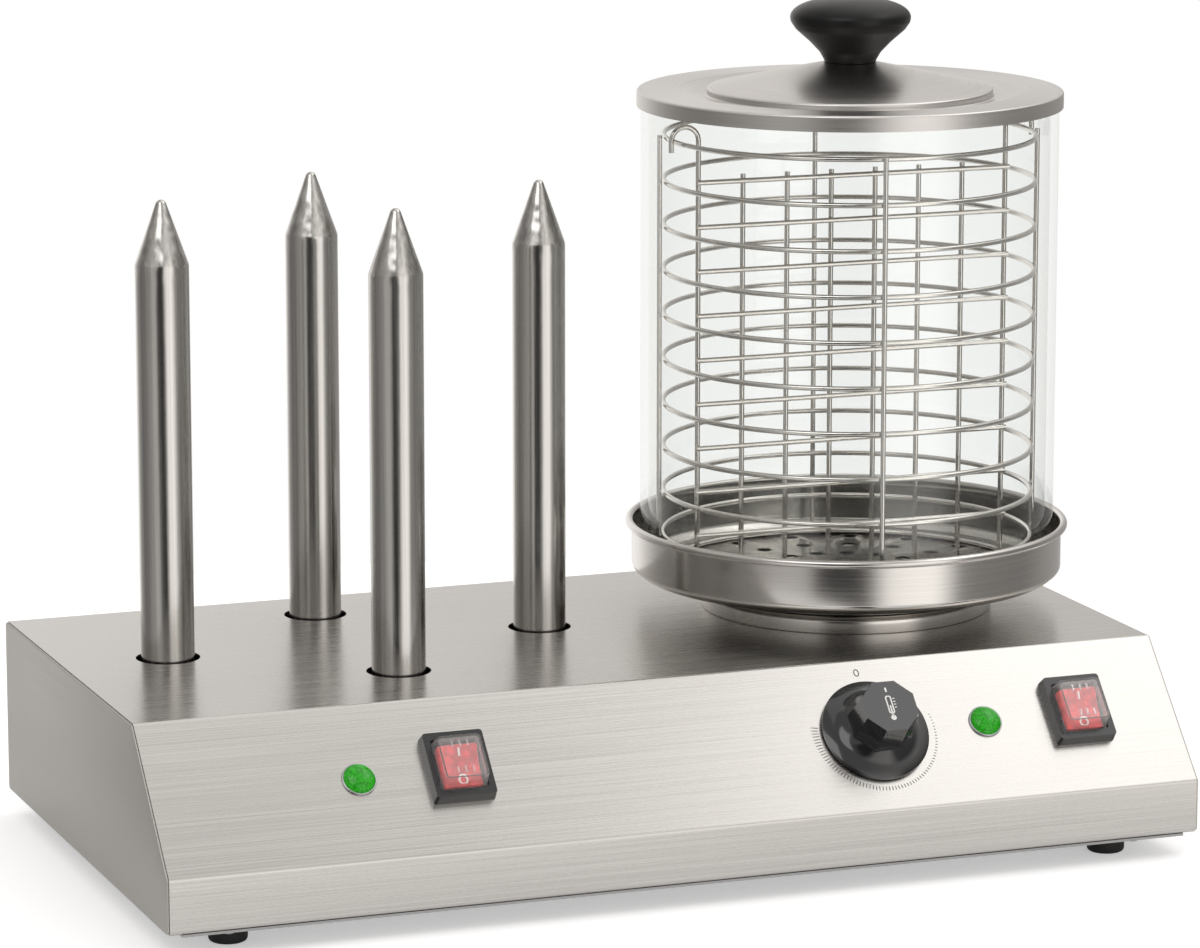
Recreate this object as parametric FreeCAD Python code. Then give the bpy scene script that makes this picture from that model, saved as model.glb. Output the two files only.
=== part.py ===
import FreeCAD, Part
import os
from math import acos, atan2, ceil, cos, degrees, pi, radians, sin, sqrt, tan

# Hot dog toaster: a folded steel housing with four heated rods that toast split rolls,
# and a boiler with a lift-out pan, a glass cylinder, a wire basket and a lid.
# All sizes are in millimetres. +X runs along the front to the right, +Y to the back, +Z up.
# The origin lies on the table, under the middle of the overall width and depth.

V = FreeCAD.Vector
x_axis = V(1, 0, 0)
y_axis = V(0, 1, 0)
z_axis = V(0, 0, 1)

# Round pieces have flat sides, as many as keep them this close to the true round
facet_depth = 0.35

# Housing
housing_width = 500.0
housing_depth = 275.0
gland_reach = 10.0
housing_bottom = 11.8
lower_bend = 37.0
housing_top = 95.0
slope_run = 53.9
sheet = 1.0
bend_radius = 2.5
bottom_flange = 16.0
back_flange = 12.0
seam_step = 0.4
side_flange = 12.0
fold_gap = 0.2
relief_radius = 3.5

# Base plate and what stands under it
base_thickness = 1.2
base_side_inset = 7.0
base_front_inset = 1.0
vent_length = 46.0
vent_width = 5.0
vent_pitch = 14.0
vent_rows = 5
foot_radius = 9.3
foot_round = 2.2
foot_from_side = 35.0
foot_inset = 26.0
foot_stem_radius = 4.0
foot_stem_length = 5.2

# Heated rods
rod_radius = 12.5
rod_height = 215.0
rod_cone = 30.0
rod_nose_radius = 2.6
rod_nose_steps = 2
rod_wall = 2.2
rod_hole_clearance = 2.5
rods_from_front = 172.9
rod_from_side = 51.5
rod_from_tray = 50.5
rod_half_depth = 63.2
rod_below_carrier = 14.0
rod_neck_step = 1.2
cartridge_gap = 0.3
cartridge_top_gap = 12.0
carrier_depth = 27.0
carrier_sheet = 2.0
carrier_margin = 24.0
carrier_flange = 12.0
nut_height = 8.0
nut_across_flats = 30.0

# Boiler, from the housing upwards
boiler_from_side = 107.0
boiler_from_front = 170.2
neck_radius = 68.2
collar_gap = 0.4
collar_wall = 2.0
collar_height = 6.3
pan_sheet = 0.8
pan_bottom = 50.0
pan_floor = 108.0
tray_radius = 104.0
tray_rim_top = 138.0
rim_width = 3.0
rim_height = 3.0
plate_radius = 65.0
plate_thickness = 8.0
element_radius = 45.0
element_wire = 4.0
element_segments = 16
element_gap_angle = 30.0
element_drop = 14.0
cradle_sheet = 1.5
cradle_half_width = 30.0
cradle_flange = 14.0
cradle_wall_gap = 4.0
pad_inset = 10.0
pad_size = 12.0
cutout_clearance = 1.5
glass_radius = 100.0
glass_wall = 4.0
glass_height = 237.3
stack_gap = 0.1

# Wire basket and its divider
wire_radius = 1.25
wire_sides = 6
ring_radius = 89.0
ring_count = 11
ring_segments = 20
ring_pitch = 21.58
first_pitch = 18.1
upright_count = 4
upright_angle = -12.65
floor_lift = 2.9
floor_sheet = 1.0
floor_radius = 89.6
floor_hole_radius = 3.8
floor_hole_sides = 5
floor_hole_rays = 17
floor_hole_first_count = 2
floor_hole_last_count = 4
floor_hole_step = 20.3
floor_hole_turn = 23.1
divider_forward = 5.0
divider_pitch = 22.8
divider_verticals = 8
divider_rows = 9
divider_row_pitch = 21.34
divider_first_row = 135.1
divider_overrun = 3.0
weld_depth = 0.35
hook_radius = 6.9
hook_top = 332.5
hook_drop = 5.0
hook_steps = 8

# Lid
lid_sheet = 0.8
lid_radius = 102.0
lid_skirt = 7.5
lid_groove_outer = 82.0
lid_groove_depth = 3.0
lid_dome_radius = 68.4
lid_dome_rim = 1.0
lid_dome_rise = 12.0
lid_crown_radius = 13.0
knob_stem_radius = 12.4
knob_cap_radius = 28.8
knob_flare_height = 20.0
knob_flare_angle = 80.0
knob_flare_steps = 4
knob_rim_height = 3.0
knob_crown_height = 7.6
knob_crown_radius = 12.0
knob_edge = 1.0
lid_screw_radius = 2.5
lid_screw_head = 8.0
lid_screw_head_height = 3.0
lid_screw_length = 14.0
washer_radius = 9.0
washer_sheet = 1.2

# Controls on the sloping panel: distance from the nearer side, up the slope and out from it
control_line = 41.0
lamp_from_side = 97.2
lamp_radius = 7.3
lamp_flange_radius = 8.0
lamp_flange = 0.9
lamp_height = 4.4
lamp_shoulder_share = 0.8
lamp_shoulder_rise = 3.1
lamp_stem_radius = 5.8
lamp_stem_length = 16.0
lamp_nut_height = 4.0
lamp_nut_across_flats = 16.0
switch_from_left = 143.4
switch_from_right = 50.4
switch_line = 41.8
bezel_width = 29.4
bezel_length = 33.9
bezel_height = 5.5
bezel_draft = 1.0
bezel_corner = 1.6
switch_body_width = 21.4
switch_body_length = 26.4
switch_depth = 24.0
ledge_height = 4.0
well_width = 18.6
well_length = 23.2
well_floor = -6.5
cover_width = 22.0
cover_length = 25.2
cover_top_width = 20.4
cover_top_length = 21.5
cover_height = 12.4
cover_wall = 1.0
cover_corner = 0.6
fit_gap = 0.2
rocker_width = 18.0
rocker_tilt = 13.0
rocker_half_length = 9.6
rocker_end_height = 7.6
rocker_middle_height = 6.4
rocker_foot = 4.0
rocker_draft = 0.6
pivot_height = -0.5
pivot_radius = 1.4
pivot_length = 1.0
running_gap = 0.05
blade_length = 8.0
blade_width = 6.3
blade_sheet = 0.8
blade_across = 5.0
blade_along = 8.0
thermostat_from_side = 153.3
thermostat_line = 40.8
thermostat_width = 38.0
thermostat_length = 36.0
thermostat_depth = 22.0
spindle_radius = 3.0
spindle_top = 17.0
spindle_bottom = -10.0
spindle_flat = 0.8
spindle_clearance = 2.5
dial_radius = 25.7
dial_gap = 0.5
dial_rim = 2.2
dial_rise = 7.8
dial_step = 1.2
dial_shoulder = 21.1
grip_top = 24.5
grip_flats_low = 27.8
grip_flats_high = 25.6
grip_sides = 8

# Pieces fixed inside and at the back
gland_from_side = 60.0
gland_z = 42.0
gland_bore = 4.0
gland_barrel = 6.0
gland_hex = 17.0
gland_flange = 4.0
gland_cap = 7.5
gland_inside = 12.0
gland_nut_height = 4.0
block_length = 48.0
block_depth = 18.0
block_height = 16.0
block_from_side = 190.0
block_from_back = 40.0
block_ways = 4
block_entry = 6.0
earth_from_side = 125.0
earth_radius = 2.5
earth_length = 14.0
earth_head = 2.0
earth_nut_height = 4.0
earth_nut_flats = 8.0
cutout_radius = 9.0
cutout_height = 7.0
hole_gap = 0.2

# Places that follow from the sizes above
corner_share = sqrt(2 * pi / wire_sides / sin(2 * pi / wire_sides))
flat_share = corner_share * cos(pi / wire_sides)
front_y = -(housing_depth + gland_reach) / 2
back_y = front_y + housing_depth
side_x = housing_width / 2
boiler_x = side_x - boiler_from_side
tray_outer = tray_radius + rim_width
left_rod_x = rod_from_side - side_x
right_rod_x = boiler_x - tray_outer - rod_from_tray
rods_x = (left_rod_x + right_rod_x) / 2
rod_half_width = (right_rod_x - left_rod_x) / 2
foot_across = side_x - foot_from_side
lamp_across = side_x - lamp_from_side
switch_left_x = switch_from_left - side_x
switch_right_x = side_x - switch_from_right
thermostat_x = side_x - thermostat_from_side
gland_x = side_x - gland_from_side
block_x = side_x - block_from_side
earth_x = side_x - earth_from_side
panel_angle = degrees(atan2(housing_top - lower_bend, slope_run))
boiler_y = front_y + boiler_from_front
rods_y = front_y + rods_from_front
under_top = housing_top - sheet
base_top = housing_bottom
base_bottom = base_top - base_thickness
carrier_top = under_top - carrier_depth
rod_tip = housing_top + rod_height
rod_bottom = carrier_top - carrier_sheet - rod_below_carrier
rod_bore = rod_radius - rod_wall
rod_neck = rod_radius - rod_neck_step
collar_inner = neck_radius + collar_gap
plate_bottom = pan_bottom - plate_thickness
cradle_floor = plate_bottom - element_wire
glass_top = pan_floor + glass_height
lid_flange_top = glass_top + stack_gap + lid_sheet
lid_crown = lid_flange_top + lid_dome_rim + lid_dome_rise
floor_top = pan_floor + floor_lift
first_ring = floor_top + wire_radius * flat_share
hoop_heights = [first_ring]
for hoop in range(ring_count - 1):
    hoop_heights.append(first_ring + first_pitch + hoop * ring_pitch)
hoop_outer = ring_radius + wire_radius * corner_share / cos(pi / ring_segments)
upright_radius = hoop_outer + wire_radius * corner_share
boiler_at = V(boiler_x, boiler_y, 0)
panel_place = FreeCAD.Placement(V(0, front_y, lower_bend), FreeCAD.Rotation(x_axis, panel_angle))
corner_points = [
    V(0, front_y, housing_bottom),
    V(0, front_y, lower_bend),
    V(0, front_y + slope_run, housing_top),
    V(0, back_y, housing_top),
    V(0, back_y, housing_bottom),
]
rod_places = {
    "left": V(left_rod_x, rods_y, 0),
    "back": V(rods_x, rods_y + rod_half_depth, 0),
    "front": V(rods_x, rods_y - rod_half_depth, 0),
    "right": V(right_rod_x, rods_y, 0),
}
foot_places = [
    V(x, y, 0)
    for x in (-foot_across, foot_across)
    for y in (front_y + foot_inset, back_y - foot_inset)
]


# General shapes

def box(x0, x1, y0, y1, z0, z1):
    return Part.makeBox(x1 - x0, y1 - y0, z1 - z0, V(x0, y0, z0))


def centred_box(width, length, low, high):
    return box(-width / 2, width / 2, -length / 2, length / 2, low, high)


def skin(rims, closed):
    # A solid with flat faces between rims that have the same number of corners.
    faces = []
    spans = len(rims) if closed else len(rims) - 1
    for span in range(spans):
        near = rims[span]
        far = rims[(span + 1) % len(rims)]
        for corner in range(len(near)):
            other = (corner + 1) % len(near)
            loop = []
            for point in (near[corner], near[other], far[other], far[corner]):
                if all(point.distanceToPoint(kept) > 1e-6 for kept in loop):
                    loop.append(point)
            if len(loop) > 2:
                faces.append(Part.Face(Part.makePolygon(loop + [loop[0]])))
    if not closed:
        faces.append(Part.Face(Part.makePolygon(rims[0] + [rims[0][0]])))
        faces.append(Part.Face(Part.makePolygon(rims[-1] + [rims[-1][0]])))
    shell = Part.makeShell(faces)
    shell.sewShape()
    solid = Part.makeSolid(shell)
    if solid.Volume < 0:
        solid.reverse()
    return solid.removeSplitter()


def sides_for(radius):
    # How many flat sides a round piece needs to lie within the facet depth of the true round.
    return 4 * ceil(pi / acos(1 - facet_depth / radius) / 4)


def turned(points):
    # A closed outline of radius and height, turned about the vertical axis.
    count = sides_for(max(radius for radius, height in points))
    rims = []
    for side in range(count):
        angle = 2 * pi * side / count
        rims.append([V(radius * cos(angle), radius * sin(angle), height) for radius, height in points])
    return skin(rims, True)


def bar(sides, radius, start, end, turn=0.0):
    # A straight bar with flat sides, its corners at a radius round the line between two points.
    along = (end - start).normalize()
    across = y_axis if abs(along.x) > 0.9 else x_axis
    upward = along.cross(across)
    corners = []
    for side in range(sides):
        angle = 2 * pi * side / sides + radians(turn)
        corners.append(start + across * (radius * cos(angle)) + upward * (radius * sin(angle)))
    return Part.Face(Part.makePolygon(corners + [corners[0]])).extrude(end - start)


def rod(radius, start, end):
    return bar(sides_for(radius), radius, start, end)


def bore(radius, start, end):
    # A tool for a hole whose flat sides stay outside a round shaft of this radius.
    sides = sides_for(radius)
    return bar(sides, radius / cos(pi / sides), start, end)


def hexagon(across_flats, start, end):
    return bar(6, across_flats / sqrt(3), start, end)


def arc_points(centre, radius, first, last, steps):
    # Points of a round stretch of an outline, with angles in degrees from outward to upward.
    points = []
    for step in range(steps + 1):
        angle = radians(first + (last - first) * step / steps)
        points.append((centre[0] + radius * cos(angle), centre[1] + radius * sin(angle)))
    return points


def thickened(path, thickness):
    # The closed outline of a sheet that follows an open path, on the path's right-hand side.
    directions = []
    for (r0, z0), (r1, z1) in zip(path, path[1:]):
        length = sqrt((r1 - r0) ** 2 + (z1 - z0) ** 2)
        directions.append(((z1 - z0) / length, -(r1 - r0) / length))
    other_side = []
    for index, (r, z) in enumerate(path):
        before = directions[max(index - 1, 0)]
        after = directions[min(index, len(directions) - 1)]
        step = thickness / (1 + before[0] * after[0] + before[1] * after[1])
        other_side.append((r + step * (before[0] + after[0]), z + step * (before[1] + after[1])))
    return path + other_side[::-1]


def rounded_wire(corners, radius):
    # A closed flat wire with every corner rounded by the same radius.
    starts = []
    ends = []
    sides = []
    for index, corner in enumerate(corners):
        back = (corners[index - 1] - corner).normalize()
        ahead = (corners[(index + 1) % len(corners)] - corner).normalize()
        half = back.getAngle(ahead) / 2
        middle = corner + (back + ahead).normalize() * (radius / sin(half) - radius)
        starts.append(corner + back * (radius / tan(half)))
        ends.append(corner + ahead * (radius / tan(half)))
        sides.append(Part.Arc(starts[-1], middle, ends[-1]).toShape())
    for index, end in enumerate(ends):
        sides.append(Part.makeLine(end, starts[(index + 1) % len(corners)]))
    return Part.Wire(Part.sortEdges(sides)[0])


def cut_rectangle(width, length, height, corner):
    # A rectangle about the middle with its corners cut off, as points at a height.
    points = []
    for across, along, wide_first in ((1, -1, False), (1, 1, True), (-1, 1, False), (-1, -1, True)):
        wide = V(across * width / 2, along * (length / 2 - corner), height)
        long = V(across * (width / 2 - corner), along * length / 2, height)
        points += [wide, long] if wide_first else [long, wide]
    return points


def bent_wire(path, normal, radius, closed=False):
    # A wire with flat sides along a flat path, mitred where it bends.
    # Its section has the area of the round wire.
    around = radius * corner_share
    rims = []
    for index, point in enumerate(path):
        start = closed or index > 0
        finish = closed or index < len(path) - 1
        before = (point - path[index - 1]).normalize() if start else (path[1] - point).normalize()
        after = (path[(index + 1) % len(path)] - point).normalize() if finish else before
        along = (before + after).normalize()
        across = along.cross(normal) / along.dot(after)
        rim = []
        for side in range(wire_sides):
            angle = 2 * pi * side / wire_sides
            rim.append(point + across * (around * cos(angle)) + normal * (around * sin(angle)))
        rims.append(rim)
    return skin(rims, closed)


def along_x(face, start, end):
    moved = face.copy()
    moved.translate(V(start, 0, 0))
    return moved.extrude(V(end - start, 0, 0))


def on_panel(shape, x, line):
    # Moves a shape made about the origin to its place on the sloping panel.
    moved = shape.copy()
    moved.translate(V(x, line, 0))
    moved.Placement = panel_place.multiply(moved.Placement)
    return moved


def at_boiler(shape):
    moved = shape.copy()
    moved.translate(boiler_at)
    return moved


def save(name, *solids):
    shape = solids[0] if len(solids) == 1 else Part.makeCompound(list(solids))
    shape.exportStep("parts/" + name + ".step")


# Housing

def section_face(inset):
    # The housing's side outline, pulled in by an inset.
    face = Part.Face(rounded_wire(corner_points, bend_radius))
    return face.makeOffset2D(-inset) if inset else face


def panel_holes():
    deep = z_axis * 3 * sheet
    lamp_hole = bore(lamp_stem_radius + hole_gap, -deep, deep)
    spindle_hole = bore(spindle_radius + spindle_clearance, -deep, deep)
    holes = [on_panel(spindle_hole, thermostat_x, thermostat_line)]
    for x in (-lamp_across, lamp_across):
        holes.append(on_panel(lamp_hole, x, control_line))
    for x in (switch_left_x, switch_right_x):
        width = switch_body_width + 2 * fit_gap
        length = switch_body_length + 2 * fit_gap
        hole = centred_box(width, length, -deep.z, deep.z)
        holes.append(on_panel(hole, x, switch_line))
    return holes


def folded_sheet():
    # The sheet round the front lip, the sloping panel, the top, the back and the back lip.
    half = side_x - sheet
    shell = along_x(section_face(0), -half, half)
    shell = shell.cut(along_x(section_face(sheet), -half - 1, half + 1))
    opening = box(-half - 1, half + 1, front_y + bottom_flange, back_y - bottom_flange,
                  housing_bottom - 1, housing_bottom + 2 * sheet)
    return shell.cut(opening)


def back_space():
    # The room below the top's back flange that the back panel fills.
    return box(-side_x, side_x, back_y - bottom_flange - 1, back_y + 1,
               housing_bottom - 1, housing_top - back_flange)


def housing_shell():
    # The front lip, the sloping panel and the top, with a flange folded down at the back.
    below = z_axis * (under_top - 1)
    above = z_axis * (housing_top + 1)
    cuts = [back_space(), at_boiler(bore(collar_inner, below, above))]
    for place in rod_places.values():
        cuts.append(bore(rod_radius + rod_hole_clearance, place + below, place + above))
    return folded_sheet().cut(cuts + panel_holes())


def back_panel():
    # The plate that closes the back, welded under the top's flange, with the cord's outlet.
    outlet = V(gland_x, back_y - 2 * sheet, gland_z)
    hole = Part.makeCylinder(gland_barrel + hole_gap, 3 * sheet, outlet, y_axis)
    return folded_sheet().common(back_space()).cut(hole)


def side_panel(side):
    # A flat end plate with a folded rim inside the shell, notched at every bend.
    outer = side * side_x
    inner = outer - side * sheet
    rim_end = inner - side * side_flange
    plate = along_x(section_face(seam_step), min(outer, inner), max(outer, inner))
    low = min(inner, rim_end)
    high = max(inner, rim_end)
    rim = along_x(section_face(sheet + fold_gap), low, high)
    rim = rim.cut(along_x(section_face(2 * sheet + fold_gap), low - 1, high + 1))
    for corner in corner_points:
        start = V(low - 1, corner.y, corner.z)
        rim = rim.cut(bore(relief_radius, start, start + x_axis * (side_flange + 2)))
    return plate.fuse(rim).removeSplitter()


def base_plate():
    half = side_x - base_side_inset
    plate = box(-half, half, front_y + base_front_inset, back_y - base_front_inset, base_bottom, base_top)
    cuts = []
    for place in foot_places:
        cuts.append(bore(foot_stem_radius + hole_gap, place, place + z_axis * (base_top + 1)))
    for x in (rods_x, boiler_x):
        for row in range(vent_rows):
            y = boiler_y + (row - (vent_rows - 1) / 2) * vent_pitch
            cuts.append(box(x - vent_length / 2, x + vent_length / 2, y - vent_width / 2, y + vent_width / 2,
                            base_bottom - 1, base_top + 1))
    return plate.cut(cuts)


def rubber_foot(place):
    # A push-in foot whose stem goes up through the base plate.
    outline = [
        (0, 0),
        (foot_radius - foot_round, 0),
        (foot_radius, foot_round),
        (foot_radius, base_bottom),
        (foot_stem_radius, base_bottom),
        (foot_stem_radius, base_bottom + foot_stem_length),
        (0, base_bottom + foot_stem_length),
    ]
    foot = turned(outline)
    foot.translate(place)
    return foot


# Heated rods

def rod_carrier():
    # A hat section: two flanges under the top, two webs and the plate that carries the rods.
    half = rod_half_depth + carrier_margin
    path = [
        (rods_y - half - carrier_flange, under_top),
        (rods_y - half, under_top),
        (rods_y - half, carrier_top),
        (rods_y + half, carrier_top),
        (rods_y + half, under_top),
        (rods_y + half + carrier_flange, under_top),
    ]
    corners = [V(0, y, z) for y, z in thickened(path, carrier_sheet)]
    reach = rod_half_width + carrier_margin
    carrier = along_x(Part.Face(Part.makePolygon(corners + [corners[0]])), rods_x - reach, rods_x + reach)
    holes = []
    for place in rod_places.values():
        holes.append(bore(rod_neck + hole_gap, place + z_axis * (carrier_top - 2 * carrier_sheet),
                          place + z_axis * (carrier_top + 1)))
    return carrier.cut(holes)


def heating_rod(place):
    # A closed tube with a blunt conical tip; its shoulder rests on the carrier above a threaded neck.
    cone_bottom = rod_tip - rod_cone
    slope = degrees(atan2(rod_radius, rod_cone))
    bore_top = cone_bottom - rod_wall
    outline = [
        (rod_bore, rod_bottom),
        (rod_neck, rod_bottom),
        (rod_neck, carrier_top),
        (rod_radius, carrier_top),
        (rod_radius, cone_bottom),
    ]
    outline += arc_points((0, rod_tip - rod_nose_radius), rod_nose_radius, slope, 90, rod_nose_steps)
    outline += [(0, bore_top), (rod_bore, bore_top)]
    tube = turned(outline)
    tube.translate(place)
    return tube


def rod_cartridge(place):
    top = rod_tip - rod_cone - rod_wall - cartridge_top_gap
    return rod(rod_bore - cartridge_gap, place + z_axis * rod_bottom, place + z_axis * top)


def rod_nut(place):
    top = place + z_axis * (carrier_top - carrier_sheet)
    low = top - z_axis * nut_height
    return hexagon(nut_across_flats, low, top).cut(bore(rod_neck + running_gap, low - z_axis, top + z_axis))


# Boiler

def boiler_collar():
    outline = [
        (collar_inner, housing_top),
        (collar_inner + collar_wall, housing_top),
        (collar_inner + collar_wall, housing_top + collar_height),
        (collar_inner, housing_top + collar_height),
    ]
    return at_boiler(turned(outline))


def evaporation_pan():
    # Water well, neck, the flat floor that the glass and the basket stand on, wall and folded rim.
    path = [
        (0, pan_bottom),
        (neck_radius, pan_bottom),
        (neck_radius, pan_floor - pan_sheet),
        (tray_radius, pan_floor - pan_sheet),
        (tray_radius, tray_rim_top - rim_height),
        (tray_outer, tray_rim_top - rim_height),
        (tray_outer, tray_rim_top),
        (tray_radius - pan_sheet, tray_rim_top),
    ]
    inner = [
        (tray_radius - pan_sheet, pan_floor),
        (neck_radius - pan_sheet, pan_floor),
        (neck_radius - pan_sheet, pan_bottom + pan_sheet),
        (0, pan_bottom + pan_sheet),
    ]
    return at_boiler(turned(path + inner))


def heating_plate():
    return at_boiler(rod(plate_radius, z_axis * plate_bottom, z_axis * pan_bottom))


def heating_element():
    # A bent tube under the plate, open at the back where its two ends turn down.
    height = plate_bottom - element_wire / 2 * flat_share
    path = []
    first = 90 + element_gap_angle / 2
    span = 360 - element_gap_angle
    for step in range(element_segments + 1):
        angle = radians(first + span * step / element_segments)
        path.append(V(element_radius * cos(angle), element_radius * sin(angle), height))
    ring = bent_wire(path, z_axis, element_wire / 2)
    ends = []
    for point in (path[0], path[-1]):
        ends.append(bar(wire_sides, element_wire / 2, point, point - z_axis * element_drop))
    return at_boiler(ring.fuse(ends))


def boiler_cradle():
    # A bridge of strip hung from the top; the heating plate rests on its raised pads.
    reach = neck_radius + cradle_wall_gap
    path = [
        (-reach - cradle_flange, under_top),
        (-reach, under_top),
        (-reach, cradle_floor),
        (reach, cradle_floor),
        (reach, under_top),
        (reach + cradle_flange, under_top),
    ]
    corners = [V(x, -cradle_half_width, z) for x, z in thickened(path, cradle_sheet)]
    strip = Part.Face(Part.makePolygon(corners + [corners[0]])).extrude(y_axis * 2 * cradle_half_width)
    pads = []
    for side in (-1, 1):
        x = side * (plate_radius - pad_inset)
        pads.append(box(x - pad_size / 2, x + pad_size / 2, -cradle_half_width, cradle_half_width,
                        cradle_floor, plate_bottom))
    below = z_axis * (cradle_floor - 2 * cradle_sheet)
    window = bore(cutout_radius + cutout_clearance, below, z_axis * cradle_floor)
    return at_boiler(strip.fuse(pads).cut(window).removeSplitter())


def safety_cutout():
    # The limiter disc, held under the middle of the heating plate.
    return at_boiler(rod(cutout_radius, z_axis * (plate_bottom - cutout_height), z_axis * plate_bottom))


def glass_cylinder():
    outline = [
        (glass_radius - glass_wall, pan_floor),
        (glass_radius, pan_floor),
        (glass_radius, glass_top),
        (glass_radius - glass_wall, glass_top),
    ]
    return at_boiler(turned(outline))


# Basket

def ring_path(height):
    path = []
    for segment in range(ring_segments):
        angle = 2 * pi * segment / ring_segments + radians(upright_angle)
        path.append(V(ring_radius * cos(angle), ring_radius * sin(angle), height))
    return path


def basket_hoops():
    # Level hoops, spot-welded inside the basket's uprights.
    return [at_boiler(bent_wire(ring_path(height), z_axis, wire_radius, True)) for height in hoop_heights]


def basket_uprights():
    # Four wires round the hoops, whose lower ends are the basket's feet.
    uprights = []
    for upright in range(upright_count):
        angle = 2 * pi * upright / upright_count + radians(upright_angle)
        outward = V(cos(angle), sin(angle), 0) * upright_radius
        side = V(-sin(angle), cos(angle), 0)
        path = [outward + z_axis * pan_floor, outward + z_axis * (hoop_heights[-1] + wire_radius)]
        uprights.append(at_boiler(bent_wire(path, side, wire_radius)))
    return uprights


def basket_floor():
    under = z_axis * (floor_top - floor_sheet)
    plate = bar(ring_segments, floor_radius, under, z_axis * floor_top, upright_angle)
    holes = []
    for circle in range(floor_hole_first_count, floor_hole_last_count + 1):
        for ray in range(floor_hole_rays):
            angle = radians(floor_hole_turn + 360 * ray / floor_hole_rays)
            start = V(cos(angle), sin(angle), 0) * (circle * floor_hole_step) + under - z_axis
            holes.append(bar(floor_hole_sides, floor_hole_radius, start, start + z_axis * (floor_sheet + 2)))
    return at_boiler(plate.cut(holes))


def hook_path(side, end_x):
    # From the foot of an end upright, up and over the top ring to the hook's short leg.
    arch = hook_top - hook_radius
    path = [V(end_x, 0, floor_top)]
    for r, z in arc_points((hook_radius, arch), hook_radius, 180, 0, hook_steps):
        path.append(V(end_x + side * r, 0, z))
    path.append(V(end_x + side * 2 * hook_radius, 0, arch - hook_drop))
    return path


def basket_divider():
    # A welded grid that hooks over the top ring and parts the basket into front and back.
    wires = []
    half = divider_pitch * (divider_verticals - 1) / 2
    top_row = divider_first_row + divider_row_pitch * (divider_rows - 1)
    for index in range(1, divider_verticals - 1):
        x = index * divider_pitch - half
        path = [V(x, 0, floor_top), V(x, 0, top_row + divider_overrun)]
        wires.append(bent_wire(path, y_axis, wire_radius))
    for side in (-1, 1):
        wires.append(bent_wire(hook_path(side, side * half), y_axis, wire_radius))
    forward = 2 * wire_radius - weld_depth
    for row in range(divider_rows):
        z = divider_first_row + row * divider_row_pitch
        path = [V(-half - wire_radius, -forward, z), V(half + wire_radius, -forward, z)]
        wires.append(bent_wire(path, z_axis, wire_radius))
    grid = wires[0].fuse(wires[1:])
    grid.translate(V(0, -divider_forward, 0))
    return at_boiler(grid)


# Lid

def lid():
    # A pressed cover: shallow dome, groove, flat flange over the glass and a skirt round it.
    path = [
        (0, lid_crown),
        (lid_crown_radius, lid_crown),
        (lid_dome_radius, lid_flange_top + lid_dome_rim),
        (lid_dome_radius, lid_flange_top - lid_groove_depth),
        (lid_groove_outer, lid_flange_top),
        (lid_radius, lid_flange_top),
        (lid_radius, lid_flange_top - lid_skirt),
    ]
    hole = bore(lid_screw_radius + hole_gap, z_axis * (lid_crown - 2), z_axis * (lid_crown + 1))
    return at_boiler(turned(thickened(path, lid_sheet)).cut(hole))


def lid_knob():
    # A mushroom knob: a stem that flares to the rim in a hollow curve, under a low crown.
    rim_low = lid_crown + knob_flare_height
    rim_high = rim_low + knob_rim_height
    top = rim_high + knob_crown_height
    bore_top = lid_crown + lid_screw_length
    flare_radius = knob_cap_radius - knob_stem_radius
    socket = lid_screw_radius + running_gap
    outline = [(0, bore_top), (socket, bore_top), (socket, lid_crown), (knob_stem_radius, lid_crown)]
    outline += arc_points((knob_cap_radius, rim_low - flare_radius), flare_radius,
                          180, 180 - knob_flare_angle, knob_flare_steps)
    outline += [(knob_cap_radius, rim_low), (knob_cap_radius, rim_high - knob_edge)]
    outline += [(knob_cap_radius - knob_edge, rim_high), (knob_crown_radius, top - knob_edge), (0, top)]
    return at_boiler(turned(outline))


def lid_washer():
    top = z_axis * (lid_crown - lid_sheet)
    low = top - z_axis * washer_sheet
    hole = bore(lid_screw_radius + hole_gap, low - z_axis, top + z_axis)
    return at_boiler(rod(washer_radius, low, top).cut(hole))


def lid_screw():
    under = z_axis * (lid_crown - lid_sheet - washer_sheet)
    shank = rod(lid_screw_radius, under, z_axis * (lid_crown + lid_screw_length - 1))
    return at_boiler(hexagon(lid_screw_head, under - z_axis * lid_screw_head_height, under).fuse(shank))


# Controls

def switch_body(x):
    # Bezel, well for the rocker and the closed box behind the panel, moulded in one.
    bezel = skin([
        cut_rectangle(bezel_width, bezel_length, 0, bezel_corner),
        cut_rectangle(bezel_width - bezel_draft, bezel_length - bezel_draft, bezel_height, bezel_corner),
    ], False)
    body = bezel.fuse(centred_box(switch_body_width, switch_body_length, -switch_depth, 0))
    seat = centred_box(cover_width + 2 * fit_gap, cover_length + 2 * fit_gap, ledge_height, bezel_height + 1)
    well = centred_box(well_width, well_length, well_floor, bezel_height + 1)
    reach = x_axis * (rocker_width / 2 + pivot_length + fit_gap)
    pivot = z_axis * pivot_height
    socket = bore(pivot_radius + running_gap, pivot - reach, pivot + reach)
    return on_panel(body.cut([seat, well, socket]).removeSplitter(), x, switch_line)


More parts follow.
